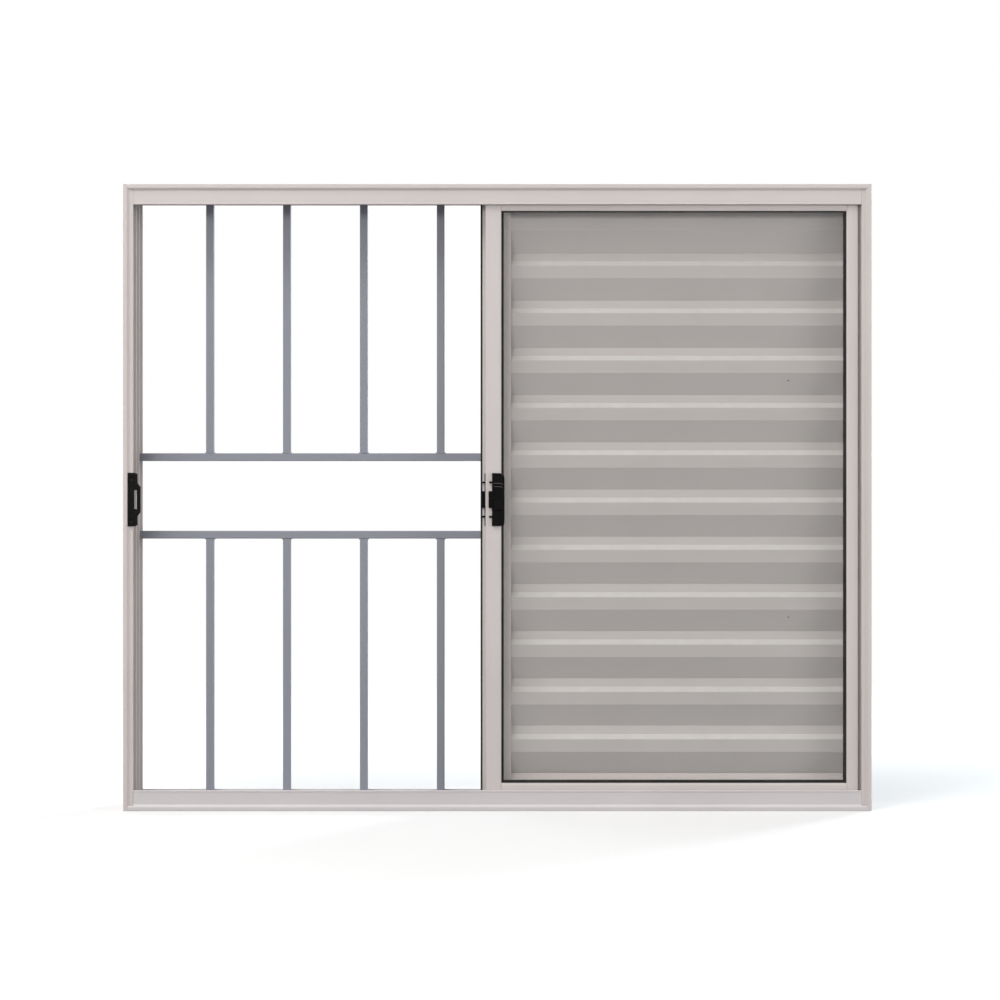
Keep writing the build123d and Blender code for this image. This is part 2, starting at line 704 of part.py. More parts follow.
def latch(left, front):
    """Shell latch: a slim case with a thumb slide in two steps and two pegs at its edge."""
    right = left + LATCH_WIDTH
    top = LATCH_CENTRE_Z + LATCH_HEIGHT / 2
    bottom = LATCH_CENTRE_Z - LATCH_HEIGHT / 2
    case_front = front - LATCH_CASE
    case = block(left, right, case_front, front - FIT, bottom, top)
    case = fillet(case.edges().filter_by(Axis.Y).group_by(Axis.X)[-1].sort_by(Axis.Z)[-1], LATCH_TOP_ROUND)
    case = fillet(case.edges().filter_by(Axis.Y).group_by(Axis.X)[-1].sort_by(Axis.Z)[0], LATCH_BOTTOM_ROUND)
    case = bevel_front(case, LATCH_EDGE_BEVEL)
    slide_left = left + SLIDE_LEFT_INSET
    slide_right = right - SLIDE_RIGHT_INSET
    slide_top = LATCH_CENTRE_Z + SLIDE_TOP
    slide_bottom = LATCH_CENTRE_Z - SLIDE_BOTTOM
    case += thumb_slide(slide_left, slide_right, case_front, slide_bottom, slide_top, SLIDE_ROUND)
    upper_top = slide_top - SLIDE_UPPER_DROP
    upper_bottom = slide_bottom + SLIDE_UPPER_INSET
    pad_front = case_front - 2 * SLIDE_STEP
    pad = thumb_slide(slide_left + SLIDE_UPPER_INSET, slide_right - SLIDE_UPPER_INSET, case_front - SLIDE_STEP,
                      upper_bottom, upper_top, SLIDE_ROUND - SLIDE_UPPER_INSET)
    thumb_radius = ((THUMB_LENGTH / 2) ** 2 + THUMB_DEPTH ** 2) / (2 * THUMB_DEPTH)
    thumb = Rot(0, 90, 0) * Cylinder(thumb_radius, slide_right - slide_left - 2 * THUMB_MARGIN)
    pad -= Pos((slide_left + slide_right) / 2, pad_front - thumb_radius + THUMB_DEPTH,
               (upper_top + upper_bottom) / 2) * thumb
    case += pad
    peg = Rot(0, 90, 0) * Cylinder(PIN_RADIUS, PIN_LENGTH + PIN_ROOT)
    for half_step in (-1, 1):
        peg_z = LATCH_CENTRE_Z + half_step * PIN_SPACING / 2
        case += Pos(left + (PIN_ROOT - PIN_LENGTH) / 2, front - LATCH_CASE / 2, peg_z) * peg
    return case


def latch_hook(left, front):
    """Hook block that reaches out of the latch towards the jamb."""
    middle = front - LATCH_CASE / 2
    half = HOOK_THICKNESS / 2
    hook_from = left - FIT - HOOK_LENGTH
    body = block(hook_from, left - FIT, middle - half, middle + half,
                 LATCH_CENTRE_Z - HOOK_HEIGHT / 2, LATCH_CENTRE_Z + HOOK_HEIGHT / 2)
    return fillet(body.edges().filter_by(Axis.Y).group_by(Axis.X)[0], HOOK_ROUND)


def keeper_face():
    """Outline of the keeper seen from the room: a plate that widens into a loop."""
    right = KEEPER_LEFT + KEEPER_WIDTH
    top = LATCH_CENTRE_Z + KEEPER_HEIGHT / 2
    bottom = LATCH_CENTRE_Z - KEEPER_HEIGHT / 2
    loop_right = right + KEEPER_LOOP_REACH
    loop_top = LATCH_CENTRE_Z + KEEPER_LOOP_HEIGHT / 2
    loop_bottom = LATCH_CENTRE_Z - KEEPER_LOOP_HEIGHT / 2
    slot_right = right - KEEPER_SLOT_INSET
    slot_half = KEEPER_SLOT_HEIGHT / 2
    plate = outline([
        (KEEPER_LEFT, bottom),
        (right - KEEPER_CHAMFER, bottom),
        (right, bottom + KEEPER_CHAMFER / 2),
        (right, loop_bottom - KEEPER_LOOP_SLOPE),
        (loop_right, loop_bottom + KEEPER_LOOP_SLOPE),
        (loop_right, loop_top - KEEPER_LOOP_SLOPE),
        (right, loop_top + KEEPER_LOOP_SLOPE),
        (right, top - KEEPER_CHAMFER / 2),
        (right - KEEPER_CHAMFER, top),
        (KEEPER_LEFT, top),
    ])
    return plate - rectangle(slot_right - KEEPER_SLOT_WIDTH, LATCH_CENTRE_Z - slot_half,
                             slot_right, LATCH_CENTRE_Z + slot_half)


def keeper():
    """Keeper on the left jamb's face: a screwed plate with a loop that the hook catches."""
    plate = extrude(Plane.XZ * keeper_face(), amount=RIM_PROUD - FIT, dir=(0, 1, 0))
    plate = bevel_front(plate, KEEPER_EDGE_BEVEL)
    sink = Rot(90, 0, 0) * Cone(KEEPER_SCREW_HOLE / 2, KEEPER_SCREW_HEAD / 2, RIM_PROUD)
    for half_step in (-1, 1):
        screw_z = LATCH_CENTRE_Z + half_step * KEEPER_SCREW_SPACING / 2
        plate -= Pos(KEEPER_LEFT + KEEPER_SCREW_INSET, RIM_PROUD / 2, screw_z) * sink
    step_start = RIM_WIDTH - HALF_WIDTH
    step_end = step_start + STEP_WIDTH
    step = outline([
        (step_start - FIT, 0),
        (step_start + FIT, -FIT),
        (step_end + FIT, RIM_PROUD - FIT),
        (step_end, 2 * RIM_PROUD),
        (step_start - RIM_WIDTH, 2 * RIM_PROUD),
        (step_start - RIM_WIDTH, 0),
    ])
    reach = KEEPER_HEIGHT / 2 + FIT
    return plate - along_height(step, LATCH_CENTRE_Z - reach, LATCH_CENTRE_Z + reach)


def pile_seal():
    """Brush strip on the fixed shutter's stile that closes the gap to the sliding shutter."""
    front = leaf_front(OUTER_TRACK)
    top = FRAME_HEIGHT - HEAD_RIB - FIT
    return block(FIXED_LEFT, FIXED_LEFT + PILE_WIDTH, front - PILE_REACH, front - FIT, LEAF_BOTTOM, top)


def build_frame():
    """Write the outer frame's four members."""
    save("frame_head", head())
    save("frame_sill", sill())
    save("left_jamb", jamb(-1))
    save("right_jamb", jamb(1))


def build_glass_sash():
    """Write the glass sash, its rollers and its latch."""
    front = leaf_front(SASH_TRACK)
    upper, lower = sash_rails(front)
    save("glass_sash_lock_stile",
         stile(SASH_LEFT_INNER, -1, LOCK_STILE_FACE, front, GLAZING_GROOVE, None, LEAF_BOTTOM, LEAF_TOP))
    save("glass_sash_right_stile",
         stile(SASH_RIGHT_INNER, 1, RIGHT_STILE_FACE, front, GLAZING_GROOVE, TONGUE_END, LEAF_BOTTOM, LEAF_TOP))
    save("glass_sash_top_rail", upper)
    save("glass_sash_bottom_rail", lower)
    save("glass_pane", glass_pane(front))
    save("glazing_gasket", glazing_gasket(front))
    save("glass_sash_roller_carriages", roller_carriages(front, SASH_LEFT_INNER, SASH_RIGHT_INNER))
    save("glass_sash_roller_wheels", roller_wheels(front, SASH_LEFT_INNER, SASH_RIGHT_INNER))
    latch_left = SASH_LEFT + LATCH_EDGE_INSET
    save("glass_sash_latch", latch(latch_left, front))
    save("glass_sash_latch_hook", latch_hook(latch_left, front))


def build_sliding_shutter():
    """Write the sliding shutter, its rollers and its latch."""
    front = leaf_front(SHUTTER_TRACK)
    open_groove = LEAF_DEPTH - 2 * LEAF_WALL
    upper, lower = shutter_rails(front, SHUTTER_LEFT_INNER, SHUTTER_RIGHT_INNER, LEAF_BOTTOM)
    save("sliding_shutter_lock_stile",
         stile(SHUTTER_LEFT_INNER, -1, SHUTTER_LOCK_FACE, front, open_groove, None, LEAF_BOTTOM, LEAF_TOP))
    save("sliding_shutter_right_stile",
         stile(SHUTTER_RIGHT_INNER, 1, SHUTTER_RIGHT_FACE, front, open_groove, TONGUE_END, LEAF_BOTTOM, LEAF_TOP))
    save("sliding_shutter_top_rail", upper)
    save("sliding_shutter_bottom_rail", lower)
    save("sliding_shutter_slats", slats(front, SHUTTER_LEFT_INNER, SHUTTER_RIGHT_INNER))
    save("sliding_shutter_roller_carriages", roller_carriages(front, SHUTTER_LEFT_INNER, SHUTTER_RIGHT_INNER))
    save("sliding_shutter_roller_wheels", roller_wheels(front, SHUTTER_LEFT_INNER, SHUTTER_RIGHT_INNER))
    latch_left = SHUTTER_LEFT + SHUTTER_LATCH_EDGE_INSET
    save("sliding_shutter_latch", latch(latch_left, front))
    save("sliding_shutter_latch_hook", latch_hook(latch_left, front))


def build_fixed_shutter():
    """Write the fixed shutter, which stands on the sill's web and against the right jamb's web."""
    front = leaf_front(OUTER_TRACK)
    bottom = FRAME_WALL + FIT
    open_groove = LEAF_DEPTH - 2 * LEAF_WALL
    left_inner = FIXED_LEFT + FIXED_STILE_FACE
    right_face = HALF_WIDTH - FRAME_WALL - FIT - SHUTTER_RIGHT_INNER
    upper, lower = shutter_rails(front, left_inner, SHUTTER_RIGHT_INNER, bottom)
    save("fixed_shutter_left_stile",
         stile(left_inner, -1, FIXED_STILE_FACE, front, open_groove, None, bottom, LEAF_TOP))
    save("fixed_shutter_right_stile",
         stile(SHUTTER_RIGHT_INNER, 1, right_face, front, open_groove, None, bottom, LEAF_TOP))
    save("fixed_shutter_top_rail", upper)
    save("fixed_shutter_bottom_rail", lower)
    save("fixed_shutter_slats", slats(front, left_inner, SHUTTER_RIGHT_INNER))
    save("interlock_pile_seal", pile_seal())


def build_grille():
    """Write the bar grille beside the fixed shutter."""
    half = BAR_SIZE / 2
    save("grille_upper_crossbar", crossbar(CROSSBAR_UPPER_Z))
    save("grille_lower_crossbar", crossbar(CROSSBAR_LOWER_Z))
    save("grille_upper_bars", grille_bars(CROSSBAR_UPPER_Z + half + FIT, FRAME_HEIGHT - FRAME_WALL - FIT))
    save("grille_lower_bars", grille_bars(TRACK_RAIL_HEIGHT + FIT, CROSSBAR_LOWER_Z - half - FIT))


os.makedirs("parts", exist_ok=True)
build_frame()
build_grille()
build_fixed_shutter()
build_sliding_shutter()
build_glass_sash()
save("latch_keeper", keeper())
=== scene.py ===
"""Dressed scene of a sliding shutter window: finishes, small fittings, floor, light and camera.

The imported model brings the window's members at their real size. This script gives each of them its
finish and adds what is too fine for the construction: the rubber glazing seal, the brush seal, the
weld beads of the grille, screw heads and rivets. All lengths are in metres.
"""

import logging
import math
from collections.abc import Callable, Iterator
from contextlib import contextmanager
from dataclasses import dataclass
from enum import Enum

import bmesh
import bpy
from bpy.types import Material, Node, NodeSocket, NodeTree, Object
from mathutils import Matrix, Vector


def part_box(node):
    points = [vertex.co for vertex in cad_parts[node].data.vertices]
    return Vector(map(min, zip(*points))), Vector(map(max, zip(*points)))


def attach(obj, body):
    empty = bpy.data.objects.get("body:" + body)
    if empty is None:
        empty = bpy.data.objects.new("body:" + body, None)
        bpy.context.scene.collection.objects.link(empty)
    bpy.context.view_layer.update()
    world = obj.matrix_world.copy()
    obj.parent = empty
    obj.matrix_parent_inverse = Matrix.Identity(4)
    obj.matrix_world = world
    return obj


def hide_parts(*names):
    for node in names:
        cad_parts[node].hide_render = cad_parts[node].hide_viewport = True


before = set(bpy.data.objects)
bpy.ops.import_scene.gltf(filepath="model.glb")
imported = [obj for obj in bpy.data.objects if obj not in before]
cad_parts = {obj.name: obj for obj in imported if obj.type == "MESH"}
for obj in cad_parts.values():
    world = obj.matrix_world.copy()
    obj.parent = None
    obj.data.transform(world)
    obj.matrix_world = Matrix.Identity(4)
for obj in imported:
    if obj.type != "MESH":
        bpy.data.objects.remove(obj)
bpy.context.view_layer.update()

LOG = logging.getLogger("window")
ROOT = "root"

# Least part of a unit direction along an axis for a face or an edge to count as lying that way
ALIGNED = 0.9
# Greatest such part for an edge to count as square to the axis
SQUARE = 0.1
# Farthest that two points may be apart and still count as one place
SAME_PLACE = 1e-5
# Edges that bend less than these are shaded smooth, on sharp-edged pieces, rivets and weld beads
SHARP_SHADE = math.radians(35)
DOME_SHADE = math.radians(50)
BEAD_SHADE = math.radians(60)
# Places of the share and the colours among the sockets of a mixing node
MIX_SHARE, MIX_FIRST, MIX_SECOND, MIX_RESULT = 0, 6, 7, 2
# The whole range of a share, and the range that holds most values of a noise pattern
WHOLE = (0.0, 1.0)
MOST_NOISE = (0.3, 0.7)

Pair = tuple[float, float]
Triple = tuple[float, float, float]
Value = float | Triple | NodeSocket
Test = Callable[[Vector, Vector], bool]


class Run(Enum):
    """The way a member was drawn through its die, as stretch factors for a pattern on it."""

    ALONG_WIDTH = (0.02, 1.0, 1.0)
    ALONG_HEIGHT = (1.0, 1.0, 0.02)


class Element(Enum):
    """Kinds of mesh element that are picked in edit mode."""

    FACE = "FACE"
    EDGE = "EDGE"
    VERT = "VERT"


class Bench:
    """The hand operations that the new pieces share."""

    @staticmethod
    def clear() -> None:
        """Leave edit mode and deselect everything."""
        active = bpy.context.view_layer.objects.active
        if active is not None and active.mode != "OBJECT":
            bpy.ops.object.mode_set(mode="OBJECT")
        bpy.ops.object.select_all(action="DESELECT")

    @staticmethod
    def take(*pieces: Object) -> None:
        """Select some pieces and make the first one active.

        Args:
            pieces: The pieces to select.
        """
        Bench.clear()
        for piece in pieces:
            piece.select_set(True)
        bpy.context.view_layer.objects.active = pieces[0]

    @staticmethod
    @contextmanager
    def editing(piece: Object, element: Element = Element.FACE) -> Iterator[None]:
        """Hold a piece in edit mode with nothing selected.

        Args:
            piece: The piece to edit.
            element: The kind of element that is picked.
        """
        Bench.take(piece)
        bpy.ops.object.mode_set(mode="EDIT")
        bpy.ops.mesh.select_mode(type=element.value)
        bpy.ops.mesh.select_all(action="DESELECT")
        yield
        bpy.ops.object.mode_set(mode="OBJECT")

    @staticmethod
    def pick_faces(piece: Object, wanted: Test) -> None:
        """Select the faces of a piece in edit mode that pass a test.

        Args:
            piece: The piece in edit mode.
            wanted: Test of a face's middle and normal.
        """
        mesh = bmesh.from_edit_mesh(piece.data)
        mesh.normal_update()
        for face in mesh.faces:
            face.select_set(wanted(face.calc_center_median(), face.normal))
        bmesh.update_edit_mesh(piece.data)

    @staticmethod
    def pick_edges(piece: Object, wanted: Test) -> None:
        """Select the edges of a piece in edit mode that pass a test.

        Args:
            piece: The piece in edit mode.
            wanted: Test of an edge's middle and direction.
        """
        mesh = bmesh.from_edit_mesh(piece.data)
        for edge in mesh.edges:
            start, end = (vertex.co for vertex in edge.verts)
            edge.select_set(wanted((start + end) / 2, (end - start).normalized()))
        bmesh.update_edit_mesh(piece.data)

    @staticmethod
    def block(name: str, low: Vector, high: Vector) -> Object:
        """Add a box between two corners, with its place in its mesh.

        Args:
            name: Name of the new piece.
            low: Lowest corner.
            high: Highest corner.

        Returns:
            The new piece.
        """
        Bench.clear()
        bpy.ops.mesh.primitive_cube_add(size=1.0, location=(low + high) / 2, scale=high - low)
        return Bench.settle(name)

    @staticmethod
    def rod(name: str, radius: float, length: float, sides: int) -> Object:
        """Add a cylinder along Z that ends at the origin, below it.

        Args:
            name: Name of the new piece.
            radius: Radius of the rod.
            length: Length of the rod.
            sides: Number of flat sides.

        Returns:
            The new piece.
        """
        Bench.clear()
        bpy.ops.mesh.primitive_cylinder_add(
            vertices=sides, radius=radius, depth=length, location=(0, 0, -length / 2)
        )
        return Bench.settle(name)

    @staticmethod
    def settle(name: str) -> Object:
        """Name the active piece and apply its place, turn and size to its mesh.

        Args:
            name: Name of the piece.

        Returns:
            The piece.
        """
        piece = bpy.context.view_layer.objects.active
        piece.name = name
        piece.data.name = name
        bpy.ops.object.transform_apply(location=True, rotation=True, scale=True)
        return piece

    @staticmethod
    def copy_to(master: Object, name: str, place: Matrix) -> Object:
        """Copy a piece with its own mesh and put the copy in place.

        Args:
            master: The piece to copy, modelled at the origin.
            name: Name of the copy.
            place: Turn and place of the copy.

        Returns:
            The copy, with its place in its mesh.
        """
        Bench.take(master)
        bpy.ops.object.duplicate(linked=False)
        copy = bpy.context.view_layer.objects.active
        copy.matrix_world = place
        return Bench.settle(name)

    @staticmethod
    def unite(name: str, pieces: list[Object]) -> Object:
        """Join some pieces into one.

        Args:
            name: Name of the joined piece.
            pieces: The pieces, the first of which takes the others in.

        Returns:
            The joined piece.
        """
        Bench.take(*pieces)
        bpy.ops.object.join()
        return Bench.settle(name)

    @staticmethod
    def cut(piece: Object, cutter: Object) -> None:
        """Cut one piece out of another and remove the cutter.

        Args:
            piece: The piece to cut.
            cutter: The piece that is cut out of it.
        """
        modifier = piece.modifiers.new("cut", "BOOLEAN")
        modifier.operation = "DIFFERENCE"
        modifier.solver = "EXACT"
        modifier.object = cutter
        Bench.take(piece)
        bpy.ops.object.modifier_apply(modifier=modifier.name)
        bpy.data.objects.remove(cutter)

    @staticmethod
    def smooth(piece: Object, angle: float = SHARP_SHADE) -> None:
        """Shade a piece smooth across edges flatter than an angle.

        Args:
            piece: The piece to shade.
            angle: Greatest bend of a smooth edge, in radians.
        """
        Bench.take(piece)
        bpy.ops.object.shade_smooth_by_angle(angle=angle)
        Bench.clear()


class NodeSheet:
    """Nodes of a finish or of the surroundings, with short calls for what they share."""

    def __init__(self, tree: NodeTree) -> None:
        """Start with an empty sheet.

        Args:
            tree: The node tree that the sheet fills.
        """
        self.links = tree.links
        self.nodes = tree.nodes
        self.nodes.clear()

    def join(self, source: NodeSocket, target: NodeSocket) -> None:
        """Link one socket to another."""
        self.links.new(source, target)

    def feed(self, socket: NodeSocket, value: Value) -> None:
        """Give a socket what it takes.

        Args:
            socket: The socket.
            value: A number, a colour, stretch factors or another node's socket.
        """
        if isinstance(value, NodeSocket):
            self.join(value, socket)
        elif isinstance(value, tuple):
            socket.default_value = (*value, 1.0)[: len(socket.default_value)]
        else:
            socket.default_value = value

    def add(self, kind: str, **settings: Value) -> Node:
        """Add a node and set its sockets.

        Args:
            kind: Kind of node.
            settings: Socket names, with underscores for spaces, and what they take.

        Returns:
            The node.
        """
        node = self.nodes.new(f"ShaderNode{kind}")
        for name, value in settings.items():
            self.feed(node.inputs[name.replace("_", " ")], value)
        return node

    def work_out(self, operation: str, *values: NodeSocket | float) -> NodeSocket:
        """Add a step of arithmetic.

        Args:
            operation: Name of the step.
            values: What it works on.

        Returns:
            The value socket.
        """
        step = self.add("Math")
        step.operation = operation
        for socket, value in zip(step.inputs, values):
            self.feed(socket, value)
        return step.outputs["Value"]

    def rays(self, *kinds: str) -> NodeSocket:
        """Give 1 for light rays of some kinds, and 0 for the others.

        Args:
            kinds: Names of the kinds.

        Returns:
            The value socket.
        """
        path = self.add("LightPath")
        total: NodeSocket = path.outputs[kinds[0]]
        for kind in kinds[1:]:
            total = self.work_out("MAXIMUM", total, path.outputs[kind])
        return total

    def looking(self) -> NodeSocket:
        """Give 1 for a ray that the camera, a gloss or a glass looks along, and 0 for lighting."""
        return self.rays("Is Camera Ray", "Is Glossy Ray", "Is Transmission Ray")

    def blend(self, share: NodeSocket, first: NodeSocket, second: NodeSocket) -> NodeSocket:
        """Blend two shaders.

        Args:
            share: Share of the second shader, from 0 to 1.
            first: Shader at 0.
            second: Shader at 1.

        Returns:
            The shader socket.
        """
        mix = self.add("MixShader")
        for socket, source in zip(mix.inputs, (share, first, second)):
            self.join(source, socket)
        return mix.outputs["Shader"]


class FinishSheet(NodeSheet):
    """Node sheet of one finish."""

    def __init__(self, name: str) -> None:
        """Start an empty sheet with its output and the piece's own coordinates.

        Args:
            name: Name of the finish.
        """
        self.material = bpy.data.materials.new(name)
        self.material.use_nodes = True
        super().__init__(self.material.node_tree)
        self.output = self.add("OutputMaterial")
        self.coordinates = self.add("TexCoord")

    def stretched(self, factors: Triple) -> NodeSocket:
        """Give the piece's coordinates by a factor for each axis; a small one draws a pattern out."""
        mapping = self.add("Mapping", Vector=self.coordinates.outputs["Object"], Scale=factors)
        return mapping.outputs["Vector"]

    def noise(self, per_metre: float, detail: float, place: NodeSocket | None = None) -> NodeSocket:
        """Give a noise pattern.

        Args:
            per_metre: Number of features in a metre.
            detail: Octaves of finer detail.
            place: Coordinates, or the piece's own where left out.

        Returns:
            The value socket, from 0 to 1.
        """
        place = place or self.coordinates.outputs["Object"]
        return self.add("TexNoise", Vector=place, Scale=per_metre, Detail=detail).outputs["Fac"]

    def ramp(self, value: NodeSocket, ends: Pair, to: Pair) -> NodeSocket:
        """Spread a value from one range to another, held at the ends.

        Args:
            value: The value to spread.
            ends: The range that is read.
            to: The range that is given.

        Returns:
            The value socket.
        """
        low, high = ends
        least, most = to
        spread = self.add(
            "MapRange", Value=value, From_Min=low, From_Max=high, To_Min=least, To_Max=most
        )
        return spread.outputs["Result"]

    def sum(self, *parts: tuple[NodeSocket, float]) -> NodeSocket:
        """Add up some values, each with its weight.

        Args:
            parts: Pairs of a value socket and its weight.

        Returns:
            The value socket.
        """
        (value, weight), *rest = parts
        total = self.work_out("MULTIPLY_ADD", value, weight, 0.0)
        for value, weight in rest:
            total = self.work_out("MULTIPLY_ADD", value, weight, total)
        return total

    def tint(self, share: NodeSocket, first: Triple | NodeSocket, second: Triple) -> NodeSocket:
        """Blend two colours.

        Args:
            share: Share of the second colour, from 0 to 1.
            first: Colour at 0, plain or from another node.
            second: Colour at 1.

        Returns:
            The colour socket.
        """
        mix = self.add("Mix")
        mix.data_type = "RGBA"
        for place, value in zip((MIX_SHARE, MIX_FIRST, MIX_SECOND), (share, first, second)):
            self.feed(mix.inputs[place], value)
        return mix.outputs[MIX_RESULT]

    def facing_up(self, start: float, end: float) -> NodeSocket:
        """Give how far a surface faces upwards, from 0 to 1.

        Args:
            start: Upward part of the normal at which the value leaves 0.
            end: Upward part of the normal at which it reaches 1.

        Returns:
            The value socket.
        """
        parts = self.add("SeparateXYZ", Vector=self.coordinates.outputs["Normal"])
        return self.ramp(parts.outputs["Z"], (start, end), WHOLE)

    def relief(self, height: NodeSocket, depth: float, strength: float) -> NodeSocket:
        """Give a bumped normal.

        Args:
            height: Height of the pattern, from 0 to 1.
            depth: Real depth of the pattern.
            strength: How strongly it shows.

        Returns:
            The normal socket.
        """
        bump = self.add("Bump", Distance=depth, Strength=strength, Height=height)
        return bump.outputs["Normal"]

    def surface(self, **settings: Value) -> NodeSocket:
        """Add the main shader with its sockets set and give its result."""
        return self.add("BsdfPrincipled", **settings).outputs["BSDF"]

    def done(self, shader: NodeSocket) -> Material:
        """Link a shader to the output and give the finished material."""
        self.join(shader, self.output.inputs["Surface"])
        return self.material


def shade(colour: Triple, factor: float) -> Triple:
    """Give a colour made darker or lighter by a factor."""
    red, green, blue = colour
    return (red * factor, green * factor, blue * factor)


@dataclass(frozen=True)
class SatinCoat:
    """Baked satin coat on drawn aluminium, with faint die lines, a fine grain and a colour on upward
    faces.

    That colour is a little dust on the frame, the leaves and the grille, and on the slats a pale painted
    highlight on their ledges. Its slope gives the upward part of the normal at which it starts and at
    which it is full, its share how much it covers there, and its least share what its thin spots keep
    of that.
    """

    name: str
    colour: Triple
    run: Run
    roughness: float = 0.5
    unevenness: float = 0.05
    gloss: float = 0.32
    clouds_per_metre: float = 7.0
    grains_per_metre: float = 1500.0
    lines_per_metre: float = 900.0
    relief_depth: float = 0.00004
    dust_and_highlight: Triple = (0.40, 0.36, 0.33)
    dust_and_highlight_share: float = 0.25
    dust_and_highlight_least: float = 0.2
    dust_and_highlight_slope: Pair = (0.75, 0.98)
    dust_and_highlight_per_metre: float = 60.0

    def material(self) -> Material:
        """Build the finish.

        Returns:
            The material.
        """
        sheet = FinishSheet(self.name)
        cloud = sheet.noise(self.clouds_per_metre, detail=3.0)
        grain = sheet.noise(self.grains_per_metre, detail=2.0)
        lines = sheet.noise(self.lines_per_metre, detail=2.0, place=sheet.stretched(self.run.value))
        mottle = sheet.sum((cloud, 0.5), (lines, 0.35), (grain, 0.15))
        low, high = shade(self.colour, 1 - self.unevenness), shade(self.colour, 1 + self.unevenness)
        coat = sheet.tint(sheet.ramp(mottle, MOST_NOISE, WHOLE), low, high)
        # Upward faces take a second colour: dust on most coats, a painted highlight on the slats' ledges
        patches = sheet.noise(self.dust_and_highlight_per_metre, detail=6.0)
        patchy_cover = sheet.ramp(patches, (0.35, 0.75), (self.dust_and_highlight_least, 1.0))
        dust_and_highlight = sheet.work_out("MULTIPLY", sheet.facing_up(*self.dust_and_highlight_slope), patchy_cover)
        colour = sheet.tint(sheet.ramp(dust_and_highlight, WHOLE, (0.0, self.dust_and_highlight_share)), coat, self.dust_and_highlight)
        height = sheet.sum((grain, 0.6), (lines, 0.4))
        shader = sheet.surface(
            Base_Color=colour,
            Roughness=sheet.ramp(mottle, MOST_NOISE, (self.roughness - 0.05, self.roughness + 0.06)),
            Specular_IOR_Level=self.gloss,
            Normal=sheet.relief(height, self.relief_depth, strength=0.25),
        )
        return sheet.done(shader)


@dataclass(frozen=True)
class FloatGlass:
    """Clear float glass with faint smears, which lets lamplight through."""

    name: str = "clear float glass"
    colour: Triple = (0.955, 0.953, 0.945)
    refraction: float = 1.5
    smear_roughness: float = 0.03
    smears_per_metre: float = 5.0
    smear_stretch: Triple = (1.0, 1.0, 0.35)
    shadow_tint: float = 0.97

    def material(self) -> Material:
        """Build the finish.

        Returns:
            The material.
        """
        sheet = FinishSheet(self.name)
        drawn = sheet.stretched(self.smear_stretch)
        streaks = sheet.noise(self.smears_per_metre, detail=4.0, place=drawn)
        smear = sheet.ramp(streaks, (0.45, 0.8), (0.0, self.smear_roughness))
        shader = sheet.surface(
            Base_Color=self.colour,
            Roughness=smear,
            IOR=self.refraction,
            Transmission_Weight=1.0,
        )
        through = sheet.add("BsdfTransparent", Color=shade(self.colour, self.shadow_tint))
        lighting = sheet.rays("Is Shadow Ray", "Is Diffuse Ray")
        return sheet.done(sheet.blend(lighting, shader, through.outputs["BSDF"]))


@dataclass(frozen=True)
class Rubber:
    """Extruded rubber with a dry, slightly chalky skin."""

    name: str = "black glazing rubber"
    colour: Triple = (0.009, 0.0075, 0.008)
    chalk: Triple = (0.045, 0.040, 0.040)
    gloss: float = 0.18
    pores_per_metre: float = 420.0
    patches_per_metre: float = 14.0
    relief_depth: float = 0.00006

    def material(self) -> Material:
        """Build the finish.

        Returns:
            The material.
        """
        sheet = FinishSheet(self.name)
        skin = sheet.noise(self.pores_per_metre, detail=5.0)
        patches = sheet.noise(self.patches_per_metre, detail=3.0)
        share = sheet.ramp(sheet.sum((skin, 0.5), (patches, 0.5)), (0.38, 0.72), (0.0, 0.8))
        shader = sheet.surface(
            Base_Color=sheet.tint(share, self.colour, self.chalk),
            Roughness=sheet.ramp(skin, MOST_NOISE, (0.52, 0.7)),
            Specular_IOR_Level=self.gloss,
            Normal=sheet.relief(skin, self.relief_depth, strength=0.35),
        )
        return sheet.done(shader)


@dataclass(frozen=True)
class MouldedPlastic:
    """Moulded plastic with a fine spark texture, a few rub marks and a second colour on its upper edges.

    On the white nylon that colour is dust; on the black fittings it is a painted highlight.

    rub is the factor from the skin's colour to that of its rub marks.
    """

    name: str
    colour: Triple
    roughness: float
    rub: float = 1.8
    gloss: float = 0.5
    sparks_per_metre: float = 2600.0
    rubs_per_metre: float = 90.0
    relief_depth: float = 0.00003
    dust_and_highlight: Triple = (0.5, 0.48, 0.46)
    dust_and_highlight_share: float = 0.2
    dust_and_highlight_slope: Pair = (0.3, 0.6)
    dust_and_highlight_per_metre: float = 240.0

    def material(self) -> Material:
        """Build the finish.

        Returns:
            The material.
        """
        sheet = FinishSheet(self.name)
        spark = sheet.noise(self.sparks_per_metre, detail=2.0)
        rubs = sheet.noise(self.rubs_per_metre, detail=5.0)
        rubbed = sheet.ramp(rubs, (0.52, 0.74), WHOLE)
        skin = sheet.tint(rubbed, self.colour, shade(self.colour, self.rub))
        # Upper edges take a second colour: dust on the nylon, a painted highlight on the black fittings
        patches = sheet.noise(self.dust_and_highlight_per_metre, detail=4.0)
        patchy_cover = sheet.ramp(patches, MOST_NOISE, (0.5 * self.dust_and_highlight_share, self.dust_and_highlight_share))
        dust_and_highlight = sheet.work_out("MULTIPLY", sheet.facing_up(*self.dust_and_highlight_slope), patchy_cover)
        shader = sheet.surface(
            Base_Color=sheet.tint(dust_and_highlight, skin, self.dust_and_highlight),
            Roughness=sheet.ramp(rubbed, WHOLE, (self.roughness, self.roughness - 0.1)),
            Specular_IOR_Level=self.gloss,
            Normal=sheet.relief(spark, self.relief_depth, strength=0.3),
        )
        return sheet.done(shader)


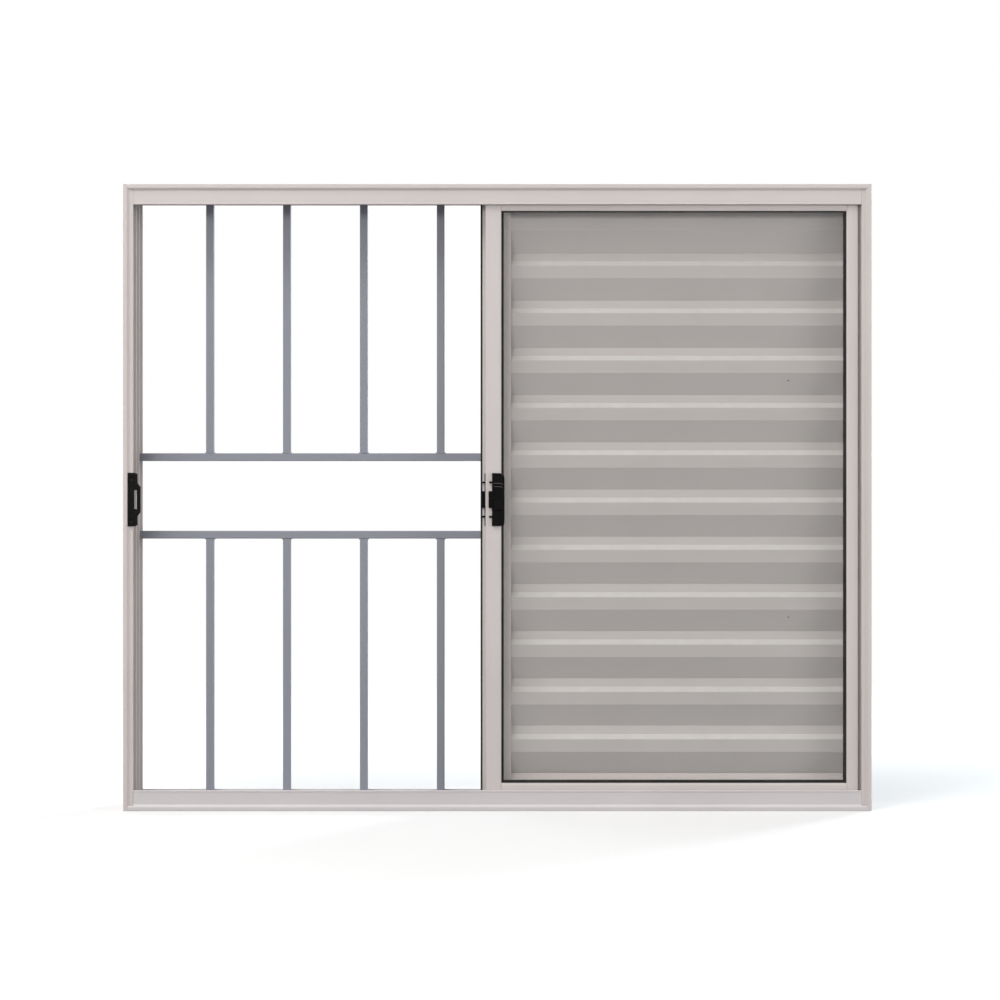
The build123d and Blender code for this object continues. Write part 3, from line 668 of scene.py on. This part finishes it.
@dataclass(frozen=True)
class BrushPile:
    """Short, dense pile of dull fibres."""

    name: str = "dark brush pile"
    colour: Triple = (0.022, 0.019, 0.019)
    tips: Triple = (0.07, 0.062, 0.06)
    fibres_per_metre: float = 1100.0
    fibre_stretch: Triple = (1.0, 0.08, 1.0)
    relief_depth: float = 0.0002

    def material(self) -> Material:
        """Build the finish.

        Returns:
            The material.
        """
        sheet = FinishSheet(self.name)
        fibre = sheet.noise(self.fibres_per_metre, detail=3.0, place=sheet.stretched(self.fibre_stretch))
        shader = sheet.surface(
            Base_Color=sheet.tint(sheet.ramp(fibre, (0.35, 0.7), WHOLE), self.colour, self.tips),
            Roughness=0.95,
            Sheen_Weight=0.25,
            Normal=sheet.relief(fibre, self.relief_depth, strength=0.6),
        )
        return sheet.done(shader)


@dataclass(frozen=True)
class PlatedSteel:
    """Plated or darkened metal of small fasteners."""

    name: str
    colour: Triple
    roughness: float
    blooms_per_metre: float = 700.0

    def material(self) -> Material:
        """Build the finish.

        Returns:
            The material.
        """
        sheet = FinishSheet(self.name)
        bloom = sheet.noise(self.blooms_per_metre, detail=4.0)
        low, high = shade(self.colour, 0.8), shade(self.colour, 1.1)
        shader = sheet.surface(
            Base_Color=sheet.tint(sheet.ramp(bloom, MOST_NOISE, WHOLE), low, high),
            Metallic=1.0,
            Roughness=sheet.ramp(bloom, MOST_NOISE, (self.roughness - 0.08, self.roughness + 0.1)),
        )
        return sheet.done(shader)


@dataclass(frozen=True)
class Finishes:
    """Every material of the window, built once."""

    head: Material
    sill: Material
    frame_height: Material
    leaf_width: Material
    leaf_height: Material
    slats: Material
    grille_width: Material
    grille_height: Material
    weld: Material
    glass: Material
    rubber: Material
    fitting: Material
    nylon: Material
    pile: Material
    screw: Material
    rivet: Material

    @staticmethod
    def mix() -> "Finishes":
        """Build all the materials.

        Returns:
            The materials.
        """
        pale = (0.585, 0.535, 0.517)
        # The sill's coat is cooler than the head's: painted cool light from low down
        sill_painted_cool_light = (0.605, 0.571, 0.575)
        leaf = (0.587, 0.537, 0.525)
        # The slats' coat is darker than the leaves' coat: painted shade for the slats deep in the
        # shutters behind the glass
        slats_painted_shade = (0.475, 0.445, 0.435)
        # The grille's grey leans blue: painted cool light from outside, which the weld beads take too
        bars = (0.245, 0.252, 0.292)
        bead = shade(bars, 1.15)
        black = (0.0032, 0.0029, 0.0031)
        return Finishes(
            head=SatinCoat("pale coat on head", pale, Run.ALONG_WIDTH).material(),
            sill=SatinCoat("pale coat on sill", sill_painted_cool_light, Run.ALONG_WIDTH).material(),
            frame_height=SatinCoat("pale coat on jambs", pale, Run.ALONG_HEIGHT).material(),
            leaf_width=SatinCoat("pale coat on rails", leaf, Run.ALONG_WIDTH).material(),
            leaf_height=SatinCoat("pale coat on stiles", leaf, Run.ALONG_HEIGHT).material(),
            # On the slats the upward colour is pale: a painted highlight on their ledges
            slats=SatinCoat(
                "pale coat on slats",
                slats_painted_shade,
                Run.ALONG_WIDTH,
                dust_and_highlight=(0.66, 0.645, 0.63),
                dust_and_highlight_share=0.70,
                dust_and_highlight_least=0.6,
                dust_and_highlight_slope=(0.42, 0.60),
            ).material(),
            grille_width=SatinCoat("grey coat on crossbars", bars, Run.ALONG_WIDTH).material(),
            grille_height=SatinCoat("grey coat on bars", bars, Run.ALONG_HEIGHT).material(),
            weld=SatinCoat("grey coat on welds", bead, Run.ALONG_WIDTH, roughness=0.36).material(),
            glass=FloatGlass().material(),
            rubber=Rubber().material(),
            # The black fitting's pale upper edges are a painted highlight on its steps
            fitting=MouldedPlastic(
                "black moulded fitting", black, roughness=0.34, gloss=0.05
            ).material(),
            nylon=MouldedPlastic("white nylon", (0.72, 0.71, 0.68), roughness=0.45, rub=0.86).material(),
            pile=BrushPile().material(),
            screw=PlatedSteel("plated screw steel", (0.62, 0.60, 0.56), roughness=0.34).material(),
            rivet=PlatedSteel("dark rivet", (0.16, 0.15, 0.14), roughness=0.5).material(),
        )


def coat(node: str, material: Material) -> None:
    """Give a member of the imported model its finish.

    Args:
        node: Name of the member.
        material: Its material.
    """
    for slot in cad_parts[node].material_slots:
        slot.material = material
    LOG.info("%s: %s", node, material.name)


def coat_all(material: Material, *nodes: str) -> None:
    """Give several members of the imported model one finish."""
    for node in nodes:
        coat(node, material)


def add_piece(piece: Object, material: Material) -> None:
    """Finish a new piece and let it ride on the window.

    Args:
        piece: The new piece.
        material: Its material.
    """
    piece.data.materials.clear()
    piece.data.materials.append(material)
    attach(piece, ROOT)
    LOG.info("%s: %d faces", piece.name, len(piece.data.polygons))


@dataclass
class CountersunkScrew:
    """Countersunk screw head with a cross recess, modelled facing up with its top at the origin.

    throat is the radius at the head's lower end.
    """

    radius: float
    depth: float
    throat: float
    sides: int = 32
    rim_share: float = 0.07
    slope_share: float = 0.1
    dish: float = 0.00008
    arm_length: float = 0.0040
    arm_width: float = 0.0009
    arm_depth: float = 0.0008
    arm_taper: Pair = (0.6, 0.7)

    def model(self, name: str) -> Object:
        """Model one head.

        Args:
            name: Name of the new piece.

        Returns:
            The head.
        """
        head = Bench.rod(name, self.radius, self.depth, self.sides)
        with Bench.editing(head):
            Bench.pick_faces(head, lambda middle, normal: normal.z < -ALIGNED)
            share = self.throat / self.radius
            bpy.ops.transform.resize(value=(share, share, 1.0))
            Bench.pick_faces(head, lambda middle, normal: normal.z > ALIGNED)
            bpy.ops.mesh.inset(thickness=self.radius * self.rim_share)
            bpy.ops.mesh.inset(thickness=self.radius * self.slope_share)
            bpy.ops.transform.translate(value=(0, 0, -self.dish))
        for turn in (0.0, math.pi / 2):
            arm = Vector((self.arm_length / 2, self.arm_width / 2, self.arm_depth))
            cutter = Bench.block("arm", -arm, arm)
            with Bench.editing(cutter):
                Bench.pick_faces(cutter, lambda middle, normal: normal.z < -ALIGNED)
                bpy.ops.transform.resize(value=(*self.arm_taper, 1.0))
            cutter.matrix_world = Matrix.Rotation(turn, 4, "Z")
            Bench.cut(head, cutter)
        Bench.smooth(head)
        return head


def facing(direction: Vector, place: Vector, roll: float = 0.0) -> Matrix:
    """Give the matrix that turns +Z to a direction and moves to a place.

    Args:
        direction: The way the piece's top faces.
        place: Where its top lies.
        roll: Turn about its own axis, in radians.

    Returns:
        The matrix.
    """
    turn = direction.to_track_quat("Z", "Y").to_matrix().to_4x4()
    return Matrix.Translation(place) @ turn @ Matrix.Rotation(roll, 4, "Z")


@dataclass
class OuterFrame:
    """Head, sill and jambs, with the screws that join their corners."""

    finishes: Finishes
    screw_radius: float = 0.0033
    screw_depth: float = 0.0016
    screw_throat: float = 0.0016
    screw_level: float = 0.0041
    screw_inset: float = 0.0001
    screw_roll: float = 0.5
    roll_by_row: float = 0.9
    roll_by_side: float = 0.3
    port_from_front: float = 0.0400

    def dress(self) -> None:
        """Coat the four members."""
        coat("frame_head", self.finishes.head)
        coat("frame_sill", self.finishes.sill)
        coat_all(self.finishes.frame_height, "left_jamb", "right_jamb")

    def add_screws(self) -> None:
        """Add a countersunk screw at each corner, flush in the jamb's web, each with its own turn."""
        low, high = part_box("left_jamb")[0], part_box("right_jamb")[1]
        screw = CountersunkScrew(self.screw_radius, self.screw_depth, self.screw_throat)
        master = screw.model("screw_master")
        depth = low.y + self.port_from_front
        heads = []
        for side, x in ((-1, low.x + self.screw_inset), (1, high.x - self.screw_inset)):
            for row, z in enumerate((low.z + self.screw_level, high.z - self.screw_level)):
                roll = self.screw_roll + self.roll_by_row * row + self.roll_by_side * side
                place = facing(Vector((side, 0, 0)), Vector((x, depth, z)), roll)
                name = f"corner_screw_{'left' if side < 0 else 'right'}_{'top' if row else 'bottom'}"
                heads.append(Bench.copy_to(master, name, place))
        bpy.data.objects.remove(master)
        for head in heads:
            add_piece(head, self.finishes.screw)


@dataclass
class BarGrille:
    """Two crossbars and two rows of bars, welded where they meet.

    bead_ripple and bead_waver are the shares of its radius that a bead swells at each ripple and
    wanders besides, waver_step is how far it wanders on from ring to ring, in radians, and bead_end
    is the share that its ends shrink to.
    """

    finishes: Finishes
    bar_count: int = 4
    bar_size: float = 0.0127
    bar_first: float = 0.1291
    bar_pitch: float = 0.126
    bead_leg: float = 0.0019
    bead_length: float = 0.0118
    bead_sides: int = 10
    bead_ripple: float = 0.14
    bead_waver: float = 0.05
    waver_step: float = 2.1
    bead_end: float = 0.55
    ripples: int = 9

    def dress(self) -> None:
        """Coat the bars."""
        coat_all(self.finishes.grille_width, "grille_upper_crossbar", "grille_lower_crossbar")
        coat_all(self.finishes.grille_height, "grille_upper_bars", "grille_lower_bars")

    def model_bead(self) -> Object:
        """Model one weld bead along Y, centred on the corner that it fills.

        Returns:
            The bead.
        """
        bead = Bench.rod("bead_master", self.bead_leg, self.bead_length, self.bead_sides)
        with Bench.editing(bead, Element.EDGE):
            Bench.pick_edges(bead, lambda middle, way: abs(way.z) > ALIGNED)
            bpy.ops.mesh.subdivide(number_cuts=2 * self.ripples)
        last_ring = 2 * self.ripples + 1
        spacing = self.bead_length / last_ring
        with Bench.editing(bead, Element.VERT):
            mesh = bmesh.from_edit_mesh(bead.data)
            for vertex in mesh.verts:
                ring = round(-vertex.co.z / spacing)
                ripple = self.bead_ripple * math.cos(math.pi * ring)
                swell = 1.0 + ripple + self.bead_waver * math.sin(self.waver_step * ring)
                end = self.bead_end if ring in (0, last_ring) else 1.0
                vertex.co.x *= swell * end
                vertex.co.y *= swell * end
            bmesh.update_edit_mesh(bead.data)
            bpy.ops.mesh.select_all(action="SELECT")
            bpy.ops.transform.translate(value=(0, 0, self.bead_length / 2))
        subdivision = bead.modifiers.new("soften", "SUBSURF")
        subdivision.levels = subdivision.render_levels = 1
        Bench.take(bead)
        bpy.ops.object.modifier_apply(modifier=subdivision.name)
        Bench.smooth(bead, BEAD_SHADE)
        return bead

    def add_welds(self) -> None:
        """Add a bead on each side of every bar, where it meets its crossbar."""
        master = self.model_bead()
        low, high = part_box("grille_upper_crossbar")
        left_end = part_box("left_jamb")[0].x
        middle_y = (low.y + high.y) / 2
        rows = (
            ("upper_bar_welds", high.z),
            ("lower_bar_welds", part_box("grille_lower_crossbar")[0].z),
        )
        for name, level in rows:
            beads = []
            for bar in range(self.bar_count):
                centre = left_end + self.bar_first + bar * self.bar_pitch
                for side in (-1, 1):
                    x = centre + side * self.bar_size / 2
                    place = facing(Vector((0, 1, 0)), Vector((x, middle_y, level)))
                    beads.append(Bench.copy_to(master, f"bead_{bar}_{side}", place))
            welds = Bench.unite(name, beads)
            Bench.smooth(welds, BEAD_SHADE)
            add_piece(welds, self.finishes.weld)
        bpy.data.objects.remove(master)


@dataclass
class BrushSeal:
    """Brush strip between the two shutters: a backing, two rows of tufts and a fin.

    tip_inset, tip_droop and tip_sway keep the tufts' tips inside the strip's box and vary them.
    droop_step and sway_step are how far this goes on from tuft to tuft, in radians.
    """

    finishes: Finishes
    backing: float = 0.0014
    backing_bevel: float = 0.0004
    row_offset: float = 0.0011
    tuft_pitch: float = 0.0022
    tuft_width: float = 0.0019
    tuft_thickness: float = 0.0009
    tip_spread: Triple = (1.25, 1.0, 0.7)
    tip_lean: float = 0.0002
    tip_inset: float = 0.0003
    tip_droop: float = 0.00035
    tip_sway: float = 0.00015
    droop_step: float = 5.3
    sway_step: float = 3.7
    fin_thickness: float = 0.00025

    def add(self) -> None:
        """Model the strip in the place of its plain solid."""
        low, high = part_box("interlock_pile_seal")
        base = Bench.block("brush_backing", Vector((low.x, high.y - self.backing, low.z)), high)
        with Bench.editing(base, Element.EDGE):
            Bench.pick_edges(base, lambda middle, way: abs(way.z) > ALIGNED)
            bpy.ops.mesh.bevel(offset=self.backing_bevel, segments=2, affect="EDGES")
        parts = [base]
        middle = (low.x + high.x) / 2
        for side in (-1, 1):
            parts.append(self.model_row(side, middle + side * self.row_offset, low, high))
        fin = Bench.block(
            "brush_fin",
            Vector((middle - self.fin_thickness / 2, low.y, low.z)),
            Vector((middle + self.fin_thickness / 2, high.y - self.backing, high.z)),
        )
        parts.append(fin)
        strip = Bench.unite("brush_seal", parts)
        Bench.smooth(strip)
        add_piece(strip, self.finishes.pile)
        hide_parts("interlock_pile_seal")

    def model_row(self, side: int, x: float, low: Vector, high: Vector) -> Object:
        """Model one row of tufts.

        Args:
            side: -1 for the left row and 1 for the right one.
            x: Middle of the row.
            low: Lowest corner of the strip.
            high: Highest corner of the strip.

        Returns:
            The row.
        """
        half = self.tuft_thickness / 2
        tip = low.y + self.tip_inset
        root = high.y - self.backing
        tuft = Bench.block(
            f"tufts_{side}",
            Vector((x - half, tip, low.z)),
            Vector((x + half, root, low.z + self.tuft_width)),
        )
        with Bench.editing(tuft):
            Bench.pick_faces(tuft, lambda middle, normal: normal.y < -ALIGNED)
            bpy.ops.transform.resize(value=self.tip_spread)
            bpy.ops.transform.translate(value=(side * self.tip_lean, 0, self.tip_lean / 2))
        array = tuft.modifiers.new("row", "ARRAY")
        array.use_relative_offset = False
        array.use_constant_offset = True
        array.constant_offset_displace = (0, 0, self.tuft_pitch)
        array.count = int((high.z - low.z) / self.tuft_pitch)
        Bench.take(tuft)
        bpy.ops.object.modifier_apply(modifier=array.name)
        with Bench.editing(tuft, Element.VERT):
            mesh = bmesh.from_edit_mesh(tuft.data)
            for vertex in mesh.verts:
                if vertex.co.y < (tip + root) / 2:
                    number = int((vertex.co.z - low.z) / self.tuft_pitch)
                    vertex.co.y += self.tip_droop * (1 + math.sin(self.droop_step * number + side)) / 2
                    vertex.co.x += self.tip_sway * math.sin(self.sway_step * number)
            bmesh.update_edit_mesh(tuft.data)
        return tuft


@dataclass
class GlazingSeal:
    """Rubber seals on both faces of the glass, each with a raised outer lip.

    sight is how wide the rubber shows beside its pocket, wall how deep it goes into the pocket, and
    top_sight what shows of it under the top rail.
    """

    finishes: Finishes
    glass_half: float = 0.002
    play: float = 0.0001
    sight: float = 0.004
    top_sight: float = 0.0012
    wall: float = 0.0091
    lip: float = 0.0011
    lip_rise: float = 0.0006
    round_radius: float = 0.0004

    def model_ring(self, name: str, glass_face: float, outer_face: float) -> Object:
        """Model one ring of rubber between the glass and the groove's edge.

        Args:
            name: Name of the new piece.
            glass_face: Depth of the ring's face against the glass.
            outer_face: Depth of the ring's outer face.

        Returns:
            The ring.
        """
        low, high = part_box("glazing_gasket")
        towards = 1.0 if outer_face > glass_face else -1.0
        inner_face = outer_face - towards * self.lip_rise
        ring = Bench.block(
            name,
            Vector((low.x, min(glass_face, inner_face), low.z)),
            Vector((high.x, max(glass_face, inner_face), high.z)),
        )
        width = self.wall + self.sight
        raise_by = self.sight - self.top_sight
        with Bench.editing(ring):
            Bench.pick_faces(ring, lambda middle, normal: abs(normal.y) > ALIGNED)
            bpy.ops.mesh.inset(thickness=width, use_individual=True)
            bpy.ops.mesh.bridge_edge_loops()
        with Bench.editing(ring, Element.VERT):
            mesh = bmesh.from_edit_mesh(ring.data)
            for vertex in mesh.verts:
                vertex.select_set(abs(vertex.co.z - (high.z - width)) < SAME_PLACE)
            bmesh.update_edit_mesh(ring.data)
            bpy.ops.transform.translate(value=(0, 0, raise_by))
        with Bench.editing(ring):
            Bench.pick_faces(ring, lambda middle, normal: normal.y * towards > ALIGNED)
            bpy.ops.mesh.inset(thickness=self.lip, use_boundary=True)
            rise = {"value": (0, towards * self.lip_rise, 0)}
            bpy.ops.mesh.extrude_region_move(TRANSFORM_OT_translate=rise)

        def on_lip(middle: Vector, way: Vector) -> bool:
            """Tell whether an edge lies in the lip's outer face."""
            return abs(middle.y - outer_face) < SAME_PLACE and abs(way.y) < SQUARE

        with Bench.editing(ring, Element.EDGE):
            Bench.pick_edges(ring, on_lip)
            bpy.ops.mesh.bevel(offset=self.round_radius, segments=3, affect="EDGES")
        Bench.smooth(ring)
        return ring

    def add(self) -> None:
        """Model the seals in the place of their plain solid."""
        low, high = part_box("glazing_gasket")
        middle = (low.y + high.y) / 2
        near = self.glass_half + self.play
        front = self.model_ring("front_seal", middle - near, low.y)
        back = self.model_ring("back_seal", middle + near, high.y)
        seal = Bench.unite("glazing_seal", [front, back])
        Bench.smooth(seal)
        add_piece(seal, self.finishes.rubber)
        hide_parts("glazing_gasket")


@dataclass
class GlassSash:
    """Sliding glass sash with its glass, rollers and latch."""

    finishes: Finishes

    def dress(self) -> None:
        """Finish the sash's members."""
        coat_all(self.finishes.leaf_height, "glass_sash_lock_stile", "glass_sash_right_stile")
        coat_all(self.finishes.leaf_width, "glass_sash_top_rail", "glass_sash_bottom_rail")
        coat("glass_pane", self.finishes.glass)
        coat("glazing_gasket", self.finishes.rubber)
        coat_all(self.finishes.fitting, "glass_sash_latch", "glass_sash_latch_hook")
        coat("glass_sash_roller_carriages", self.finishes.fitting)
        coat("glass_sash_roller_wheels", self.finishes.nylon)


@dataclass
class Shutters:
    """The sliding and the fixed louvred shutter, with two rivets on slats."""

    finishes: Finishes
    rivet_radius: float = 0.0016
    rivet_height: float = 0.0008
    rivet_x: float = 0.4725
    rivet_levels: Pair = (0.6924, 0.3084)
    rivet_depth: float = -0.0027
    rivet_segments: int = 24
    rivet_rings: int = 16
    slant_angle: float = math.radians(20.2)

    def dress(self) -> None:
        """Finish both shutters' members."""
        for leaf in ("fixed_shutter", "sliding_shutter"):
            coat_all(self.finishes.leaf_width, f"{leaf}_top_rail", f"{leaf}_bottom_rail")
            coat(f"{leaf}_right_stile", self.finishes.leaf_height)
            coat(f"{leaf}_slats", self.finishes.slats)
        coat_all(self.finishes.leaf_height, "fixed_shutter_left_stile", "sliding_shutter_lock_stile")
        coat_all(self.finishes.fitting, "sliding_shutter_latch", "sliding_shutter_latch_hook")
        coat("sliding_shutter_roller_carriages", self.finishes.fitting)
        coat("sliding_shutter_roller_wheels", self.finishes.nylon)
        coat("interlock_pile_seal", self.finishes.pile)

    def add_rivets(self) -> None:
        """Add the two small rivets on the sliding shutter's slats."""
        Bench.clear()
        bpy.ops.mesh.primitive_uv_sphere_add(
            segments=self.rivet_segments, ring_count=self.rivet_rings, radius=self.rivet_radius
        )
        master = Bench.settle("rivet_master")
        with Bench.editing(master):
            bpy.ops.mesh.select_all(action="SELECT")
            bpy.ops.mesh.bisect(
                plane_co=(0, 0, 0), plane_no=(0, 0, 1), clear_inner=True, use_fill=True
            )
            bpy.ops.mesh.select_all(action="SELECT")
            flat = self.rivet_height / self.rivet_radius
            bpy.ops.transform.resize(value=(1.0, 1.0, flat), center_override=(0, 0, 0))
        Bench.smooth(master, DOME_SHADE)
        way = Vector((0, -math.cos(self.slant_angle), -math.sin(self.slant_angle)))
        for number, level in enumerate(self.rivet_levels, start=1):
            place = facing(way, Vector((self.rivet_x, self.rivet_depth, level)))
            rivet = Bench.copy_to(master, f"slat_rivet_{number}", place)
            add_piece(rivet, self.finishes.rivet)
        bpy.data.objects.remove(master)


@dataclass
class Keeper:
    """Keeper on the left jamb with its two screws."""

    finishes: Finishes
    screw_from_left: float = 0.006
    screw_spacing: float = 0.067
    screw_radius: float = 0.0031
    screw_depth: float = 0.0028
    screw_throat: float = 0.0017
    screw_sink: float = 0.0002
    screw_roll: float = 0.4

    def dress(self) -> None:
        """Finish the keeper."""
        coat("latch_keeper", self.finishes.fitting)

    def add_screws(self) -> None:
        """Add the two countersunk screws."""
        low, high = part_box("latch_keeper")
        head = CountersunkScrew(self.screw_radius, self.screw_depth, self.screw_throat)
        master = head.model("keeper_screw_master")
        middle = (low.z + high.z) / 2
        for number, side in enumerate((-1, 1), start=1):
            level = middle + side * self.screw_spacing / 2
            spot = Vector((low.x + self.screw_from_left, low.y + self.screw_sink, level))
            place = facing(Vector((0, -1, 0)), spot, self.screw_roll * number)
            screw = Bench.copy_to(master, f"keeper_screw_{number}", place)
            add_piece(screw, self.finishes.fitting)
        bpy.data.objects.remove(master)


@dataclass(frozen=True)
class SoftBox:
    """One soft studio lamp."""

    name: str
    place: Triple
    aim: Triple
    size: Pair
    power: float
    colour: Triple

    def hang(self) -> None:
        """Add the lamp and turn it to its aim."""
        data = bpy.data.lights.new(self.name, "AREA")
        data.shape = "RECTANGLE"
        data.size, data.size_y = self.size
        data.energy = self.power
        data.color = self.colour
        lamp = bpy.data.objects.new(self.name, data)
        way = Vector(self.aim) - Vector(self.place)
        turn = way.to_track_quat("-Z", "Y").to_matrix().to_4x4()
        lamp.matrix_world = Matrix.Translation(self.place) @ turn
        bpy.context.scene.collection.objects.link(lamp)


@dataclass
class Studio:
    """Pale floor, white surroundings, soft lamps and the camera.

    floor_lift is a faint glow that brings the seen floor near white. From floor_near to floor_far
    from the window's foot it goes over into the white surroundings. floor_bounce is its colour for
    the light that it throws back.
    """

    floor_size: float = 16.0
    floor_level: float = -0.0004
    floor_colour: Triple = (0.88, 0.88, 0.88)
    floor_bounce: Triple = (0.30, 0.30, 0.30)
    floor_lift: float = 0.12
    floor_near: float = 1.3
    floor_far: float = 2.6
    sky: Triple = (1.0, 0.965, 0.935)
    ambient: float = 0.32
    lens: float = 79.73
    sensor: float = 36.0
    camera_place: Triple = (0.00425, -3.6, 0.4985)

    def lay_floor(self) -> None:
        """Add the floor, which looks white and keeps the window's shadow."""
        Bench.clear()
        bpy.ops.mesh.primitive_plane_add(size=self.floor_size, location=(0, 0, self.floor_level))
        floor = Bench.settle("studio_floor")
        sheet = FinishSheet("pale studio floor")
        lifted = sheet.add("AddShader")
        shaded = sheet.add("BsdfDiffuse", Color=self.floor_colour)
        glow = sheet.add("Emission", Strength=self.floor_lift)
        sheet.join(shaded.outputs["BSDF"], lifted.inputs[0])
        sheet.join(glow.outputs["Emission"], lifted.inputs[1])
        away = sheet.add("VectorMath")
        away.operation = "LENGTH"
        sheet.join(sheet.coordinates.outputs["Object"], away.inputs[0])
        reach = sheet.ramp(away.outputs["Value"], (self.floor_near, self.floor_far), WHOLE)
        white = sheet.add("Emission")
        spread = sheet.blend(reach, lifted.outputs["Shader"], white.outputs["Emission"])
        bounce = sheet.add("BsdfDiffuse", Color=self.floor_bounce)
        finish = sheet.blend(sheet.looking(), bounce.outputs["BSDF"], spread)
        floor.data.materials.append(sheet.done(finish))

    def surround(self) -> None:
        """Make the world white to look at and a soft sky to be lit by."""
        world = bpy.data.worlds.new("studio surroundings")
        world.use_nodes = True
        bpy.context.scene.world = world
        sheet = NodeSheet(world.node_tree)
        white = sheet.add("Background", Color=(1.0, 1.0, 1.0))
        soft = sheet.add("Background", Color=self.sky, Strength=self.ambient)
        both = sheet.blend(sheet.looking(), soft.outputs["Background"], white.outputs["Background"])
        sheet.join(both, sheet.add("OutputWorld").inputs["Surface"])

    def light(self) -> None:
        """Hang the lamps: a high key, a broad front lamp, a fill on each side and two behind."""
        middle = (0.0, 0.0, 0.5)
        lamps = (
            SoftBox("key lamp", (-2.4, -2.2, 4.4), middle, (3.0, 2.0), 160.0, (0.975, 0.99, 1.0)),
            SoftBox("front lamp", (-1.9, -5.4, 1.6), middle, (2.2, 1.0), 92.0, (1.0, 0.985, 0.97)),
            SoftBox("left fill lamp", (-3.6, -2.6, 1.3), middle, (1.8, 1.8), 5.0, (1.0, 0.98, 0.96)),
            SoftBox("right fill lamp", (3.6, -2.0, 1.2), middle, (1.8, 1.8), 60.0, (0.97, 0.98, 1.0)),
            SoftBox("opening lamp", (3.0, 3.4, 1.6), middle, (1.8, 2.0), 205.0, (0.81, 0.93, 1.0)),
            SoftBox("back lamp", (-2.6, 3.0, 2.0), middle, (1.8, 1.4), 24.0, (0.97, 0.985, 1.0)),
        )
        for lamp in lamps:
            lamp.hang()

    def stand_camera(self) -> None:
        """Stand the camera at the photograph's viewing angle."""
        data = bpy.data.cameras.new("camera")
        data.lens = self.lens
        data.sensor_width = self.sensor
        camera = bpy.data.objects.new("camera", data)
        camera.location = self.camera_place
        camera.rotation_euler = (math.pi / 2, 0, 0)
        bpy.context.scene.collection.objects.link(camera)
        bpy.context.scene.camera = camera
        bpy.context.scene.view_settings.view_transform = "Standard"


def main() -> None:
    """Dress the window, add its small pieces and set up the studio."""
    logging.basicConfig(level=logging.INFO, format="%(name)s: %(message)s")
    finishes = Finishes.mix()
    outer = OuterFrame(finishes)
    outer.dress()
    outer.add_screws()
    grille = BarGrille(finishes)
    grille.dress()
    grille.add_welds()
    shutters = Shutters(finishes)
    shutters.dress()
    BrushSeal(finishes).add()
    shutters.add_rivets()
    GlassSash(finishes).dress()
    GlazingSeal(finishes).add()
    keeper = Keeper(finishes)
    keeper.dress()
    keeper.add_screws()
    studio = Studio()
    studio.lay_floor()
    studio.surround()
    studio.light()
    studio.stand_camera()


if __name__ == "__main__":
    main()
